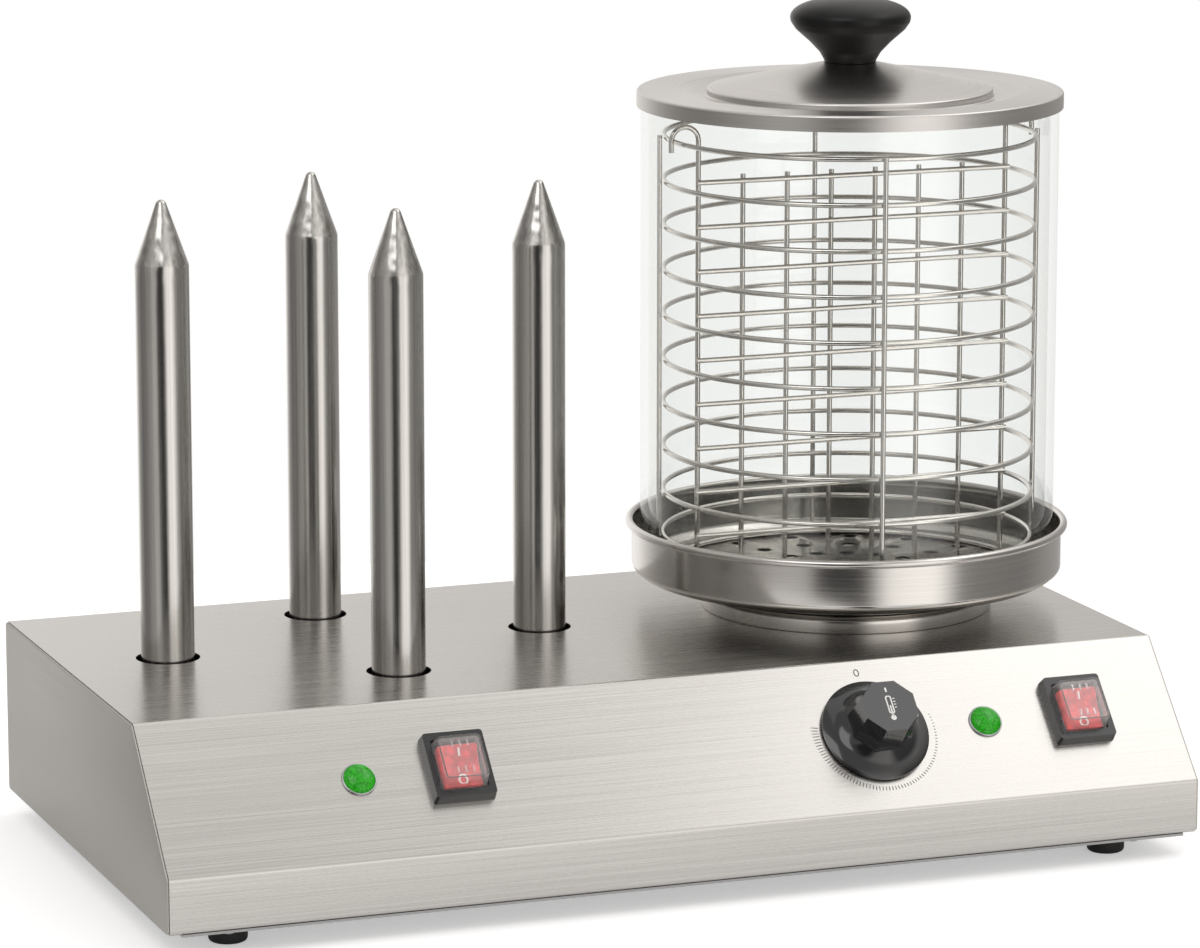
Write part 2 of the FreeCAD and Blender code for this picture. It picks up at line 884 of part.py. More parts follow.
def rocker(x):
    # The rocker at rest: its lower end is pressed in, its upper end stands out.
    outline = [
        V(0, -rocker_half_length, rocker_end_height),
        V(0, 0, rocker_middle_height),
        V(0, rocker_half_length, rocker_end_height),
        V(0, rocker_half_length - rocker_draft, 0),
        V(0, rocker_foot, -rocker_foot),
        V(0, -rocker_foot, -rocker_foot),
        V(0, rocker_draft - rocker_half_length, 0),
    ]
    paddle = along_x(Part.Face(Part.makePolygon(outline + [outline[0]])), -rocker_width / 2, rocker_width / 2)
    reach = x_axis * (rocker_width / 2 + pivot_length)
    paddle = paddle.fuse(rod(pivot_radius, -reach, reach))
    paddle.rotate(V(), x_axis, rocker_tilt)
    paddle.translate(z_axis * pivot_height)
    return on_panel(paddle, x, switch_line)


def switch_cover(x):
    # The clear splash cap that is held in the bezel over the rocker.
    rims = []
    low = ledge_height
    for inset in (0, cover_wall):
        high = cover_height - inset
        rims.append([
            cut_rectangle(cover_width - 2 * inset, cover_length - 2 * inset, low, cover_corner),
            cut_rectangle(cover_top_width - 2 * inset, cover_top_length - 2 * inset, high, cover_corner),
        ])
    return on_panel(skin(rims[0], False).cut(skin(rims[1], False)), x, switch_line)


def switch_blades(x):
    blades = []
    for across in (-blade_across, blade_across):
        for along in (-blade_along, blade_along):
            blade = centred_box(blade_width, blade_sheet, -switch_depth - blade_length, -switch_depth)
            blade.translate(V(across, along, 0))
            blades.append(on_panel(blade, x, switch_line))
    return blades


def lamp_lens(x):
    # A domed lens with a thin flange in front of the panel and its stem through it.
    outline = [
        (0, -lamp_stem_length),
        (lamp_stem_radius, -lamp_stem_length),
        (lamp_stem_radius, 0),
        (lamp_flange_radius, 0),
        (lamp_flange_radius, lamp_flange),
        (lamp_radius, lamp_flange),
        (lamp_radius * lamp_shoulder_share, lamp_shoulder_rise),
        (0, lamp_height),
    ]
    return on_panel(turned(outline), x, control_line)


def lamp_nut(x):
    high = z_axis * -sheet
    low = high - z_axis * lamp_nut_height
    hole = bore(lamp_stem_radius + running_gap, low - z_axis, high + z_axis)
    return on_panel(hexagon(lamp_nut_across_flats, low, high).cut(hole), x, control_line)


def thermostat_body():
    body = centred_box(thermostat_width, thermostat_length, -sheet - thermostat_depth, -sheet)
    socket = bore(spindle_radius + running_gap, z_axis * (spindle_bottom - fit_gap), z_axis)
    return on_panel(body.cut(socket), thermostat_x, thermostat_line)


def flatted(shape, radius, high):
    # The shape with the flat that turns the knob with its spindle.
    return shape.cut(box(-radius - 1, radius + 1, radius - spindle_flat, radius + 1, dial_rise - 1, high + 1))


def thermostat_spindle():
    pin = rod(spindle_radius, z_axis * spindle_bottom, z_axis * spindle_top)
    return on_panel(flatted(pin, spindle_radius, spindle_top), thermostat_x, thermostat_line)


def thermostat_knob():
    # A round skirt with an eight-sided grip that fits on the spindle's flat.
    shoulder = dial_gap + dial_rim
    skirt = turned([
        (0, dial_gap),
        (dial_radius, dial_gap),
        (dial_radius, shoulder),
        (dial_shoulder, shoulder + dial_step),
        (grip_flats_low / 2, dial_rise),
        (0, dial_rise),
    ])
    grip_rims = []
    for across_flats, height in ((grip_flats_low, dial_rise - 1), (grip_flats_high, grip_top)):
        radius = across_flats / 2 / cos(pi / grip_sides)
        rim = []
        for side in range(grip_sides):
            angle = 2 * pi * (side + 0.5) / grip_sides
            rim.append(V(radius * cos(angle), radius * sin(angle), height))
        grip_rims.append(rim)
    socket = bore(spindle_radius + running_gap, V(), z_axis * (spindle_top + fit_gap))
    socket = flatted(socket, spindle_radius + running_gap, spindle_top + fit_gap)
    return on_panel(skirt.fuse(skin(grip_rims, False)).cut(socket), thermostat_x, thermostat_line)


# Electrical pieces at the back and inside

def cable_gland():
    # The cord's inlet: a six-sided flange outside, a threaded barrel through the back and a bore.
    outside = V(gland_x, back_y, gland_z)
    flange = hexagon(gland_hex, outside, outside + y_axis * gland_flange)
    cap = rod(gland_cap, outside + y_axis * gland_flange, outside + y_axis * gland_reach)
    barrel = rod(gland_barrel, outside - y_axis * gland_inside, outside)
    start = outside - y_axis * (gland_inside + 1)
    passage = Part.makeCylinder(gland_bore, gland_inside + gland_reach + 2, start, y_axis)
    return flange.fuse([cap, barrel]).cut(passage)


def gland_nut():
    outer = V(gland_x, back_y - sheet, gland_z)
    inner = outer - y_axis * gland_nut_height
    hole = Part.makeCylinder(gland_barrel + running_gap, gland_nut_height + 2, inner - y_axis, y_axis)
    return hexagon(gland_hex, inner, outer).cut(hole)


def terminal_block():
    back = back_y - block_from_back
    block = box(block_x - block_length / 2, block_x + block_length / 2, back - block_depth, back,
                base_top, base_top + block_height)
    pitch = block_length / block_ways
    middle = base_top + block_height / 2
    cuts = []
    for way in range(block_ways):
        x = block_x + (way - (block_ways - 1) / 2) * pitch
        cuts.append(box(x - block_entry / 2, x + block_entry / 2, back - block_depth - 1, back + 1,
                        middle - block_entry / 2, middle + block_entry / 2))
    return block.cut(cuts)


def earth_stud():
    foot = V(earth_x, back_y - block_from_back, base_top)
    head = foot + z_axis * earth_head
    return hexagon(earth_nut_flats, foot, head).fuse(rod(earth_radius, head, foot + z_axis * earth_length))


def earth_nut():
    low = V(earth_x, back_y - block_from_back, base_top + earth_head)
    high = low + z_axis * earth_nut_height
    hole = bore(earth_radius + running_gap, low - z_axis, high + z_axis)
    return hexagon(earth_nut_flats, low, high).cut(hole)


os.makedirs("parts", exist_ok=True)

save("housing_shell", housing_shell())
save("back_panel", back_panel())
save("side_panel_left", side_panel(-1))
save("side_panel_right", side_panel(1))
save("base_plate", base_plate())
save("rubber_feet", *[rubber_foot(place) for place in foot_places])
save("rod_carrier", rod_carrier())
for name, place in rod_places.items():
    save("heating_rod_" + name, heating_rod(place))
save("rod_cartridges", *[rod_cartridge(place) for place in rod_places.values()])
save("rod_nuts", *[rod_nut(place) for place in rod_places.values()])
save("boiler_collar", boiler_collar())
save("boiler_cradle", boiler_cradle())
save("heating_plate", heating_plate())
save("heating_element", heating_element())
save("safety_cutout", safety_cutout())
save("evaporation_pan", evaporation_pan())
save("glass_cylinder", glass_cylinder())
save("basket_hoops", *basket_hoops())
save("basket_uprights", *basket_uprights())
save("basket_floor", basket_floor())
save("basket_divider", basket_divider())
save("lid", lid())
save("lid_knob", lid_knob())
save("lid_washer", lid_washer())
save("lid_screw", lid_screw())
for name, x in (("left", switch_left_x), ("right", switch_right_x)):
    save("switch_body_" + name, switch_body(x))
    save("rocker_" + name, rocker(x))
    save("switch_cover_" + name, switch_cover(x))
    save("switch_blades_" + name, *switch_blades(x))
save("lamp_lenses", *[lamp_lens(x) for x in (-lamp_across, lamp_across)])
save("lamp_nuts", *[lamp_nut(x) for x in (-lamp_across, lamp_across)])
save("thermostat_body", thermostat_body())
save("thermostat_spindle", thermostat_spindle())
save("thermostat_knob", thermostat_knob())
save("cable_gland", cable_gland())
save("gland_nut", gland_nut())
save("terminal_block", terminal_block())
save("earth_stud", earth_stud())
save("earth_nut", earth_nut())
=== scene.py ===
from math import atan2, cos, pi, radians, sin, sqrt, tan

import bmesh
import bpy
from mathutils import Matrix, Vector


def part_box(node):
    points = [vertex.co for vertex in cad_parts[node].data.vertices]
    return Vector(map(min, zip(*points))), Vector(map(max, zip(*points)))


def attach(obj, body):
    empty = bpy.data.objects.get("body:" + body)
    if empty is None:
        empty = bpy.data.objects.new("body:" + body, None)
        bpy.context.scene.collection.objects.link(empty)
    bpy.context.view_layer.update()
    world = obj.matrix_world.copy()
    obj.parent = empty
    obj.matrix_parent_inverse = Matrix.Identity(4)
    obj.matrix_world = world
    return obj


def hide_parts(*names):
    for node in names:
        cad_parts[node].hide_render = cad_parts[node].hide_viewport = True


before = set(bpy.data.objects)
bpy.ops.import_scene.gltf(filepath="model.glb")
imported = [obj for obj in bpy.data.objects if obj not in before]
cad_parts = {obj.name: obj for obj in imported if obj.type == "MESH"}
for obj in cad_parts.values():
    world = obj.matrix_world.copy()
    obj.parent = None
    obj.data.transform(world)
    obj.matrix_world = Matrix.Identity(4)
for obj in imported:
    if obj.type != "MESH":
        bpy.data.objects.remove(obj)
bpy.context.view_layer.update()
mm = 0.001

# Places shared by several pieces, in millimetres, read from the frame where it has them


def nodeBox(name):
    low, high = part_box(name)
    return Vector(low) / mm, Vector(high) / mm


shellLow, shellHigh = nodeBox("housing_shell")
backLow, backHigh = nodeBox("back_panel")
panLow, panHigh = nodeBox("evaporation_pan")
glassLow, glassHigh = nodeBox("glass_cylinder")
lidLow, lidHigh = nodeBox("lid")
boiler = ((panLow.x + panHigh.x) / 2, (panLow.y + panHigh.y) / 2)
housing = {
    "lowerBend": 37.0,
    "slopeRun": 53.9,
    "sheet": 1.0,
    "bend": 2.5,
    "flange": 16.0,
    "seam": 0.15,
    "lampHole": 6.0,
    "switchHole": (21.8, 26.8),
    "knobHole": 5.5,
    "glandHole": 6.2,
    "holeReach": 3.0,
}
panelTilt = atan2(shellHigh.z - housing["lowerBend"], housing["slopeRun"])
panelMatrix = Matrix.Translation((0, shellLow.y, housing["lowerBend"])) @ Matrix.Rotation(panelTilt, 4, "X")


# Mesh helpers: outlines and paths are in millimetres

def soften(points, radius, closed=True, steps=3):
    # rounds each corner of a flat outline, less where its sides are short
    result = []
    count = len(points)
    for index, point in enumerate(points):
        if not closed and index in (0, count - 1):
            result.append(point)
            continue
        here = Vector(point)
        back = Vector(points[index - 1]) - here
        ahead = Vector(points[(index + 1) % count]) - here
        if min(back.length, ahead.length) < 1e-6 or here.x < 1e-6 and closed == "lathe":
            result.append(point)
            continue
        half = back.angle(ahead) / 2
        if half > radians(86) or half < radians(3):
            result.append(point)
            continue
        reach = min(radius / tan(half), back.length * 0.45, ahead.length * 0.45)
        start = here + back.normalized() * reach
        end = here + ahead.normalized() * reach
        for step in range(steps + 1):
            share = step / steps
            a = start.lerp(here, share)
            b = here.lerp(end, share)
            result.append(tuple(a.lerp(b, share)))
    return result


def lathe(outline, steps=128, centre=(0, 0)):
    # turns a closed outline of radius and height about an upright axis
    bm = bmesh.new()
    rings = []
    for step in range(steps):
        angle = 2 * pi * step / steps
        rings.append([bm.verts.new((centre[0] + r * cos(angle), centre[1] + r * sin(angle), z)) for r, z in outline])
    for step in range(steps):
        near = rings[step]
        far = rings[(step + 1) % steps]
        for index in range(len(outline)):
            other = (index + 1) % len(outline)
            if outline[index][0] < 1e-6 and outline[other][0] < 1e-6:
                continue
            bm.faces.new((near[index], near[other], far[other], far[index]))
    bmesh.ops.remove_doubles(bm, verts=bm.verts, dist=1e-5)
    return bm


def offsetLine(points, distance, closed=False):
    # the same line set over by a distance, to the right of its run
    result = []
    for index, point in enumerate(points):
        here = Vector(point)
        ways = []
        if closed or index > 0:
            ways.append((here - Vector(points[index - 1])).normalized())
        if closed or index < len(points) - 1:
            ways.append((Vector(points[(index + 1) % len(points)]) - here).normalized())
        sides = [Vector((way.y, -way.x)) for way in ways]
        step = (sides[0] + sides[-1]) / (1 + sides[0].dot(sides[-1]))
        result.append(tuple(here + step * distance))
    return result


def prism(outline, low, high, topOutline=None):
    # a straight or tapered bar with a flat outline, from one height to another
    bm = bmesh.new()
    bottom = [bm.verts.new((x, y, low)) for x, y in outline]
    top = [bm.verts.new((x, y, high)) for x, y in (topOutline or outline)]
    bm.faces.new(bottom[::-1])
    bm.faces.new(top)
    for index in range(len(bottom)):
        other = (index + 1) % len(bottom)
        bm.faces.new((bottom[index], bottom[other], top[other], top[index]))
    return bm


def polygon(radius, sides, turn=0.0, centre=(0, 0)):
    points = []
    for side in range(sides):
        angle = 2 * pi * side / sides + turn
        points.append((centre[0] + radius * cos(angle), centre[1] + radius * sin(angle)))
    return points


def rectangle(width, length, centre=(0, 0)):
    x, y = centre
    return [(x - width / 2, y - length / 2), (x + width / 2, y - length / 2),
            (x + width / 2, y + length / 2), (x - width / 2, y + length / 2)]


def tube(path, normal, radius, sides=12, closed=False):
    # a round wire along a flat path; normal is square to the path's plane
    bm = bmesh.new()
    normal = Vector(normal).normalized()
    rings = []
    count = len(path)
    for index, point in enumerate(path):
        before = path[index - 1] if closed or index else path[0]
        after = path[(index + 1) % count] if closed or index < count - 1 else path[-1]
        along = (after - before).normalized()
        across = along.cross(normal)
        ring = []
        for side in range(sides):
            angle = 2 * pi * side / sides
            ring.append(bm.verts.new(point + across * (radius * cos(angle)) + normal * (radius * sin(angle))))
        rings.append(ring)
    for index in range(count if closed else count - 1):
        near = rings[index]
        far = rings[(index + 1) % count]
        for side in range(sides):
            other = (side + 1) % sides
            bm.faces.new((near[side], near[other], far[other], far[side]))
    if not closed:
        for ring, inward in ((rings[0], -1), (rings[-1], 1)):
            bm.faces.new(ring[::inward])
    return bm


def roundEdges(bm, width, steps=2, sharper=30):
    edges = [edge for edge in bm.edges if len(edge.link_faces) == 2 and edge.calc_face_angle(0) > radians(sharper)]
    bmesh.ops.bevel(bm, geom=edges, offset=width, offset_type="OFFSET", segments=steps, profile=0.5,
                    affect="EDGES", clamp_overlap=True)
    return bm


def moved(bm, matrix):
    bmesh.ops.transform(bm, matrix=matrix, verts=bm.verts)
    return bm


def onPanel(bm, x, line, turn=0.0):
    # from a place about the origin to its place on the sloping panel
    place = panelMatrix @ Matrix.Translation((x, line, 0)) @ Matrix.Rotation(turn, 4, "Z")
    return moved(bm, place)


def joined(parts):
    whole = bmesh.new()
    for part in parts:
        scratch = bpy.data.meshes.new("scratch")
        part.to_mesh(scratch)
        part.free()
        whole.from_mesh(scratch)
        bpy.data.meshes.remove(scratch)
    return whole


def cutAway(bm, cutters):
    # takes closed shapes out of a closed shape
    objects = []
    for shape in (bm, joined(cutters)):
        bmesh.ops.recalc_face_normals(shape, faces=shape.faces)
        mesh = bpy.data.meshes.new("scratch")
        shape.to_mesh(mesh)
        shape.free()
        objects.append(bpy.data.objects.new("scratch", mesh))
        bpy.context.scene.collection.objects.link(objects[-1])
    body, tool = objects
    cut = body.modifiers.new("cut", "BOOLEAN")
    cut.operation = "DIFFERENCE"
    cut.solver = "EXACT"
    cut.object = tool
    bpy.context.view_layer.update()
    baked = bpy.data.meshes.new_from_object(body.evaluated_get(bpy.context.evaluated_depsgraph_get()))
    result = bmesh.new()
    result.from_mesh(baked)
    for item in objects:
        mesh = item.data
        bpy.data.objects.remove(item)
        bpy.data.meshes.remove(mesh)
    bpy.data.meshes.remove(baked)
    return result


def addPiece(name, bm, body, finish, replaces=(), smooth=32):
    # scales a mesh to metres, smooths it, gives it its finish and hangs it on its body, hiding the parts it replaces
    bmesh.ops.recalc_face_normals(bm, faces=bm.faces)
    bmesh.ops.scale(bm, vec=(mm, mm, mm), verts=bm.verts)
    mesh = bpy.data.meshes.new(name)
    bm.to_mesh(mesh)
    bm.free()
    mesh.polygons.foreach_set("use_smooth", [True] * len(mesh.polygons))
    mesh.set_sharp_from_angle(angle=radians(smooth))
    piece = bpy.data.objects.new(name, mesh)
    bpy.context.scene.collection.objects.link(piece)
    mesh.materials.append(finish)
    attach(piece, body)
    if replaces:
        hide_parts(*replaces)
    return piece


# Material helpers

def newFinish(name, colour, metallic=0.0, roughness=0.5):
    finish = bpy.data.materials.new(name)
    finish.use_nodes = True
    shader = finish.node_tree.nodes["Principled BSDF"]
    shader.inputs["Base Color"].default_value = (*colour, 1)
    shader.inputs["Metallic"].default_value = metallic
    shader.inputs["Roughness"].default_value = roughness
    return finish, finish.node_tree, shader


def addNode(tree, kind, inputs=None, **settings):
    node = tree.nodes.new("ShaderNode" + kind)
    for key, value in settings.items():
        setattr(node, key, value)
    for key, value in (inputs or {}).items():
        if isinstance(value, bpy.types.NodeSocket):
            tree.links.new(value, node.inputs[key])
        else:
            node.inputs[key].default_value = value
    return node


def mixShaders(tree, share, first, second):
    mix = addNode(tree, "MixShader", {0: share})
    tree.links.new(first.outputs[0], mix.inputs[1])
    tree.links.new(second.outputs[0], mix.inputs[2])
    tree.links.new(mix.outputs[0], tree.nodes["Material Output"].inputs["Surface"])


def seenStraight(tree):
    # 1 for what the camera sees, straight or through clear plastic
    light = addNode(tree, "LightPath")
    return addNode(tree, "Math", {0: light.outputs["Is Camera Ray"], 1: light.outputs["Is Transmission Ray"]},
                   operation="MAXIMUM").outputs[0]


def straightGrain(tree, stretch):
    # object coordinates stretched along the way the sheet was brushed
    place = addNode(tree, "TexCoord")
    return addNode(tree, "Mapping", {"Vector": place.outputs["Object"], "Scale": stretch}).outputs["Vector"]


def roundGrain(tree, centre, across, along):
    # coordinates that run round an upright axis, for spun and turned metal
    place = addNode(tree, "TexCoord")
    middle = (centre[0] * mm, centre[1] * mm, 0)
    offset = addNode(tree, "VectorMath", {0: place.outputs["Object"], 1: middle}, operation="SUBTRACT")
    parts = addNode(tree, "SeparateXYZ", {0: offset.outputs[0]})
    flat = addNode(tree, "CombineXYZ", {0: parts.outputs[0], 1: parts.outputs[1]})
    radius = addNode(tree, "VectorMath", {0: flat.outputs[0]}, operation="LENGTH")
    angle = addNode(tree, "Math", {0: parts.outputs[1], 1: parts.outputs[0]}, operation="ARCTAN2")
    radiusScaled = addNode(tree, "Math", {0: radius.outputs["Value"], 1: across}, operation="MULTIPLY")
    heightScaled = addNode(tree, "Math", {0: parts.outputs[2], 1: across}, operation="MULTIPLY")
    angleScaled = addNode(tree, "Math", {0: angle.outputs[0], 1: along}, operation="MULTIPLY")
    whole = addNode(tree, "CombineXYZ", {0: radiusScaled.outputs[0], 1: heightScaled.outputs[0],
                                         2: angleScaled.outputs[0]})
    return whole.outputs[0]


def ranged(tree, value, low, high, fromLow=0.3, fromHigh=0.7):
    return addNode(tree, "MapRange", {"Value": value, "From Min": fromLow, "From Max": fromHigh,
                                      "To Min": low, "To Max": high}).outputs[0]


def mixColours(tree, share, first, second):
    mix = addNode(tree, "Mix", data_type="RGBA")
    for index, value in ((0, share), (6, first), (7, second)):
        if isinstance(value, bpy.types.NodeSocket):
            tree.links.new(value, mix.inputs[index])
        else:
            mix.inputs[index].default_value = value if index == 0 else (*value, 1)
    return mix.outputs[2]


def grained(name, colour, grain, darker=0.86, roughness=(0.24, 0.34), bump=0.02, cloud=0.10,
            anisotropic=0.6, tangent=""):
    # brushed metal: fine streaks in colour, gloss and height, over a slow change of tone
    # grain is three stretches for straight brushing, or across and along for spun metal round the boiler
    finish, tree, shader = newFinish(name, colour, 1.0)
    vector = straightGrain(tree, grain) if len(grain) == 3 else roundGrain(tree, boiler, *grain)
    fine = addNode(tree, "TexNoise", {"Vector": vector, "Scale": 1.0, "Detail": 5.0, "Roughness": 0.65})
    place = addNode(tree, "TexCoord")
    slow = addNode(tree, "TexNoise", {"Vector": place.outputs["Object"], "Scale": 9.0, "Detail": 2.0})
    dark = tuple(channel * darker for channel in colour)
    streaks = mixColours(tree, ranged(tree, fine.outputs["Fac"], 0, 1), dark, colour)
    shade = mixColours(tree, ranged(tree, slow.outputs["Fac"], 0, cloud), streaks,
                       tuple(channel * 0.75 for channel in colour))
    tree.links.new(shade, shader.inputs["Base Color"])
    tree.links.new(ranged(tree, fine.outputs["Fac"], *roughness), shader.inputs["Roughness"])
    lift = addNode(tree, "Bump", {"Height": fine.outputs["Fac"], "Strength": bump, "Distance": 0.0004})
    tree.links.new(lift.outputs["Normal"], shader.inputs["Normal"])
    if tangent:
        shader.inputs["Anisotropic"].default_value = anisotropic
        way = addNode(tree, "Tangent", direction_type="RADIAL", axis=tangent)
        tree.links.new(way.outputs["Tangent"], shader.inputs["Tangent"])
    return finish


def moulded(name, colour, roughness=(0.30, 0.42), grainScale=900.0, bump=0.05, coat=0.0, sheen=0.5):
    # moulded plastic or rubber with a fine skin and a slow change of gloss
    finish, tree, shader = newFinish(name, colour)
    place = addNode(tree, "TexCoord")
    fine = addNode(tree, "TexNoise", {"Vector": place.outputs["Object"], "Scale": grainScale, "Detail": 3.0})
    slow = addNode(tree, "TexNoise", {"Vector": place.outputs["Object"], "Scale": 60.0, "Detail": 2.0})
    tree.links.new(ranged(tree, slow.outputs["Fac"], *roughness), shader.inputs["Roughness"])
    worn = tuple(min(channel * 1.6 + 0.004, 1) for channel in colour)
    tree.links.new(mixColours(tree, ranged(tree, slow.outputs["Fac"], 0, 0.5), colour, worn),
                   shader.inputs["Base Color"])
    lift = addNode(tree, "Bump", {"Height": fine.outputs["Fac"], "Strength": bump, "Distance": 0.0002})
    tree.links.new(lift.outputs["Normal"], shader.inputs["Normal"])
    shader.inputs["Coat Weight"].default_value = coat
    shader.inputs["Specular IOR Level"].default_value = sheen
    return finish


print("frame loaded, building finishes")

steelTone = (0.60, 0.585, 0.56)
panelSteel = grained("brushed housing steel", steelTone, (6, 1500, 1500),
                     darker=0.80, roughness=(0.22, 0.33), bump=0.04, tangent="X", anisotropic=0.55)
# side plates: their rougher brushing is their own finish, and their tone, darker than the housing steel's, is painted
# shade on the sides
sidePlateSteelPaintedShade = grained("side plate steel with painted shade", (0.47, 0.455, 0.43), (900, 8, 900),
                    darker=0.93, roughness=(0.42, 0.52), bump=0.02)
spunSteel = grained("spun boiler steel", (0.62, 0.60, 0.575), (1000, 1.4),
                    darker=0.88, roughness=(0.13, 0.18), bump=0.006, cloud=0.04, tangent="Z", anisotropic=0.8)
lidSteel = grained("spun lid steel", (0.66, 0.64, 0.615), (1000, 1.4),
                   darker=0.88, roughness=(0.27, 0.34), bump=0.01, cloud=0.04, tangent="Z", anisotropic=0.7)
innerSteel = grained("inner steel", (0.40, 0.40, 0.40), (20, 600, 600),
                     darker=0.85, roughness=(0.35, 0.5))
zincSteel = grained("zinc plated steel", (0.50, 0.51, 0.53), (160, 160, 160),
                    darker=0.85, roughness=(0.28, 0.42), cloud=0.3)
wireSteel = grained("bright basket wire", (0.74, 0.72, 0.69), (300, 300, 300),
                    darker=0.9, roughness=(0.12, 0.20), cloud=0.1)
darkSteel = grained("heat tinted steel", (0.20, 0.18, 0.16), (300, 300, 60),
                    darker=0.75, roughness=(0.4, 0.55), cloud=0.4)
castMetal = grained("cast plate", (0.45, 0.45, 0.46), (500, 500, 500),
                    darker=0.8, roughness=(0.45, 0.6), bump=0.2)
brassPlain = grained("brass", (0.60, 0.43, 0.17), (400, 400, 400),
                     darker=0.85, roughness=(0.28, 0.4))
glossBlack = moulded("glossy black plastic", (0.010, 0.010, 0.011), (0.10, 0.16), 700, 0.01, 0.5)
satinBlack = moulded("satin black plastic", (0.006, 0.006, 0.006), (0.34, 0.42), 1400, 0.10, sheen=0.25)
bezelBlack = moulded("bezel plastic", (0.012, 0.012, 0.013), (0.20, 0.28), 1200, 0.04, 0.2)
footRubber = moulded("foot rubber", (0.010, 0.010, 0.010), (0.55, 0.7), 1600, 0.2)
paleMoulding = moulded("pale moulding", (0.62, 0.60, 0.54), (0.4, 0.5), 900, 0.05)
blackPrint = moulded("black print", (0.012, 0.012, 0.012), (0.45, 0.55), 2000, 0.02)
whitePrint = moulded("white print", (0.80, 0.80, 0.78), (0.4, 0.5), 2000, 0.02)


rodPolish = {"dentScale": 95.0, "dentDepth": 0.0011, "dentFrom": 0.268, "dentTo": 0.284, "shaftDent": 0.05}


def rodSteel():
    # long polishing marks up the rod, with the dents of the drawn tip
    finish = grained("polished rod", (0.62, 0.605, 0.58), (700, 700, 5),
                     darker=0.72, roughness=(0.15, 0.27), bump=0.05, cloud=0.3)
    tree = finish.node_tree
    shader = tree.nodes["Principled BSDF"]
    fine = shader.inputs["Normal"].links[0].from_socket
    place = addNode(tree, "TexCoord")
    dents = addNode(tree, "TexNoise", {"Vector": place.outputs["Object"], "Scale": rodPolish["dentScale"],
                                       "Detail": 1.0})
    height = addNode(tree, "SeparateXYZ", {0: place.outputs["Object"]})
    share = ranged(tree, height.outputs[2], rodPolish["shaftDent"], 0.8, rodPolish["dentFrom"], rodPolish["dentTo"])
    lift = addNode(tree, "Bump", {"Height": dents.outputs["Fac"], "Strength": share,
                                  "Distance": rodPolish["dentDepth"], "Normal": fine})
    tree.links.new(lift.outputs["Normal"], shader.inputs["Normal"])
    return finish


polishedRod = rodSteel()


def clearGlass():
    # clear wall glass seen straight through, with the mirror sheen of its surfaces stronger at the edges
    finish, tree, shader = newFinish("clear glass", (0.97, 0.98, 0.975), 1.0, 0.03)
    place = addNode(tree, "TexCoord")
    haze = addNode(tree, "TexNoise", {"Vector": place.outputs["Object"], "Scale": 14.0, "Detail": 2.0})
    tree.links.new(ranged(tree, haze.outputs["Fac"], 0.02, 0.05), shader.inputs["Roughness"])
    clear = addNode(tree, "BsdfTransparent", {"Color": (0.985, 0.99, 0.985, 1)})
    facing = addNode(tree, "LayerWeight", {"Blend": 0.5})
    edge = addNode(tree, "Math", {0: facing.outputs["Facing"], 1: 4.5}, operation="POWER")
    light = addNode(tree, "LightPath")
    seen = ranged(tree, light.outputs["Is Shadow Ray"], 1.0, 0.0, 0.0, 1.0)
    share = addNode(tree, "Math", {0: ranged(tree, edge.outputs[0], 0.03, 0.55, 0.0, 1.0), 1: seen},
                    operation="MULTIPLY")
    mixShaders(tree, share.outputs[0], clear, shader)
    return finish


def coverPlastic():
    # soft clear cap over a switch
    finish, tree, shader = newFinish("clear cap plastic", (0.95, 0.94, 0.93), 0.0, 0.12)
    shader.inputs["Transmission Weight"].default_value = 0.92
    shader.inputs["IOR"].default_value = 1.42
    place = addNode(tree, "TexCoord")
    haze = addNode(tree, "TexNoise", {"Vector": place.outputs["Object"], "Scale": 120.0, "Detail": 2.0})
    tree.links.new(ranged(tree, haze.outputs["Fac"], 0.04, 0.16), shader.inputs["Roughness"])
    clear = addNode(tree, "BsdfTransparent", {"Color": (0.9, 0.9, 0.9, 1)})
    light = addNode(tree, "LightPath")
    mixShaders(tree, light.outputs["Is Shadow Ray"], shader, clear)
    return finish


def lampAndPaintedGlow(name, colour, glow, scale, strength, roughness=0.25):
    # tinted plastic with a patchy glow: in a lens the glow comes from the lamp behind it, and on a part with no lamp
    # behind it, as on the red rocker, the glow is painted light
    finish, tree, shader = newFinish(name, colour, 0.0, roughness)
    place = addNode(tree, "TexCoord")
    cells = addNode(tree, "TexVoronoi", {"Vector": place.outputs["Object"], "Scale": scale})
    tree.links.new(mixColours(tree, ranged(tree, cells.outputs["Distance"], 0, 1, 0.0, 0.7), colour,
                              tuple(channel * 0.6 for channel in colour)), shader.inputs["Base Color"])
    tree.links.new(mixColours(tree, ranged(tree, cells.outputs["Distance"], 0, 1, 0.0, 0.7), glow,
                              tuple(channel * 0.35 for channel in glow)), shader.inputs["Emission Color"])
    shader.inputs["Emission Strength"].default_value = strength
    shader.inputs["Coat Weight"].default_value = 0.2
    shader.inputs["Specular IOR Level"].default_value = 0.3
    return finish


wallGlass = clearGlass()
capPlastic = coverPlastic()
greenLens = lampAndPaintedGlow("green lens", (0.012, 0.30, 0.008), (0.035, 0.62, 0.012), 900.0, 0.42)
# the red rocker has no lamp behind it, so its glow is painted light
redRockerPaintedGlow = lampAndPaintedGlow("red rocker painted glow", (0.60, 0.035, 0.04), (0.85, 0.07, 0.075), 260.0, 0.45, 0.3)

print("building the housing")

panel = {
    "controlLine": 41.0,
    "switchLine": 41.8,
    "lampAcross": 152.8,
    "switches": {"left": -106.6, "right": 199.6},
    "knobX": 96.7,
    "knobLine": 40.8,
}
rodSeat = {"names": ("left", "back", "front", "right"), "holeRadius": 15.0}
collarInner = 68.6


def atKnob(bm):
    return onPanel(bm, panel["knobX"], panel["knobLine"])


def rodCentres():
    centres = {}
    for name in rodSeat["names"]:
        low, high = nodeBox("heating_rod_" + name)
        centres[name] = ((low.x + high.x) / 2, (low.y + high.y) / 2)
    return centres


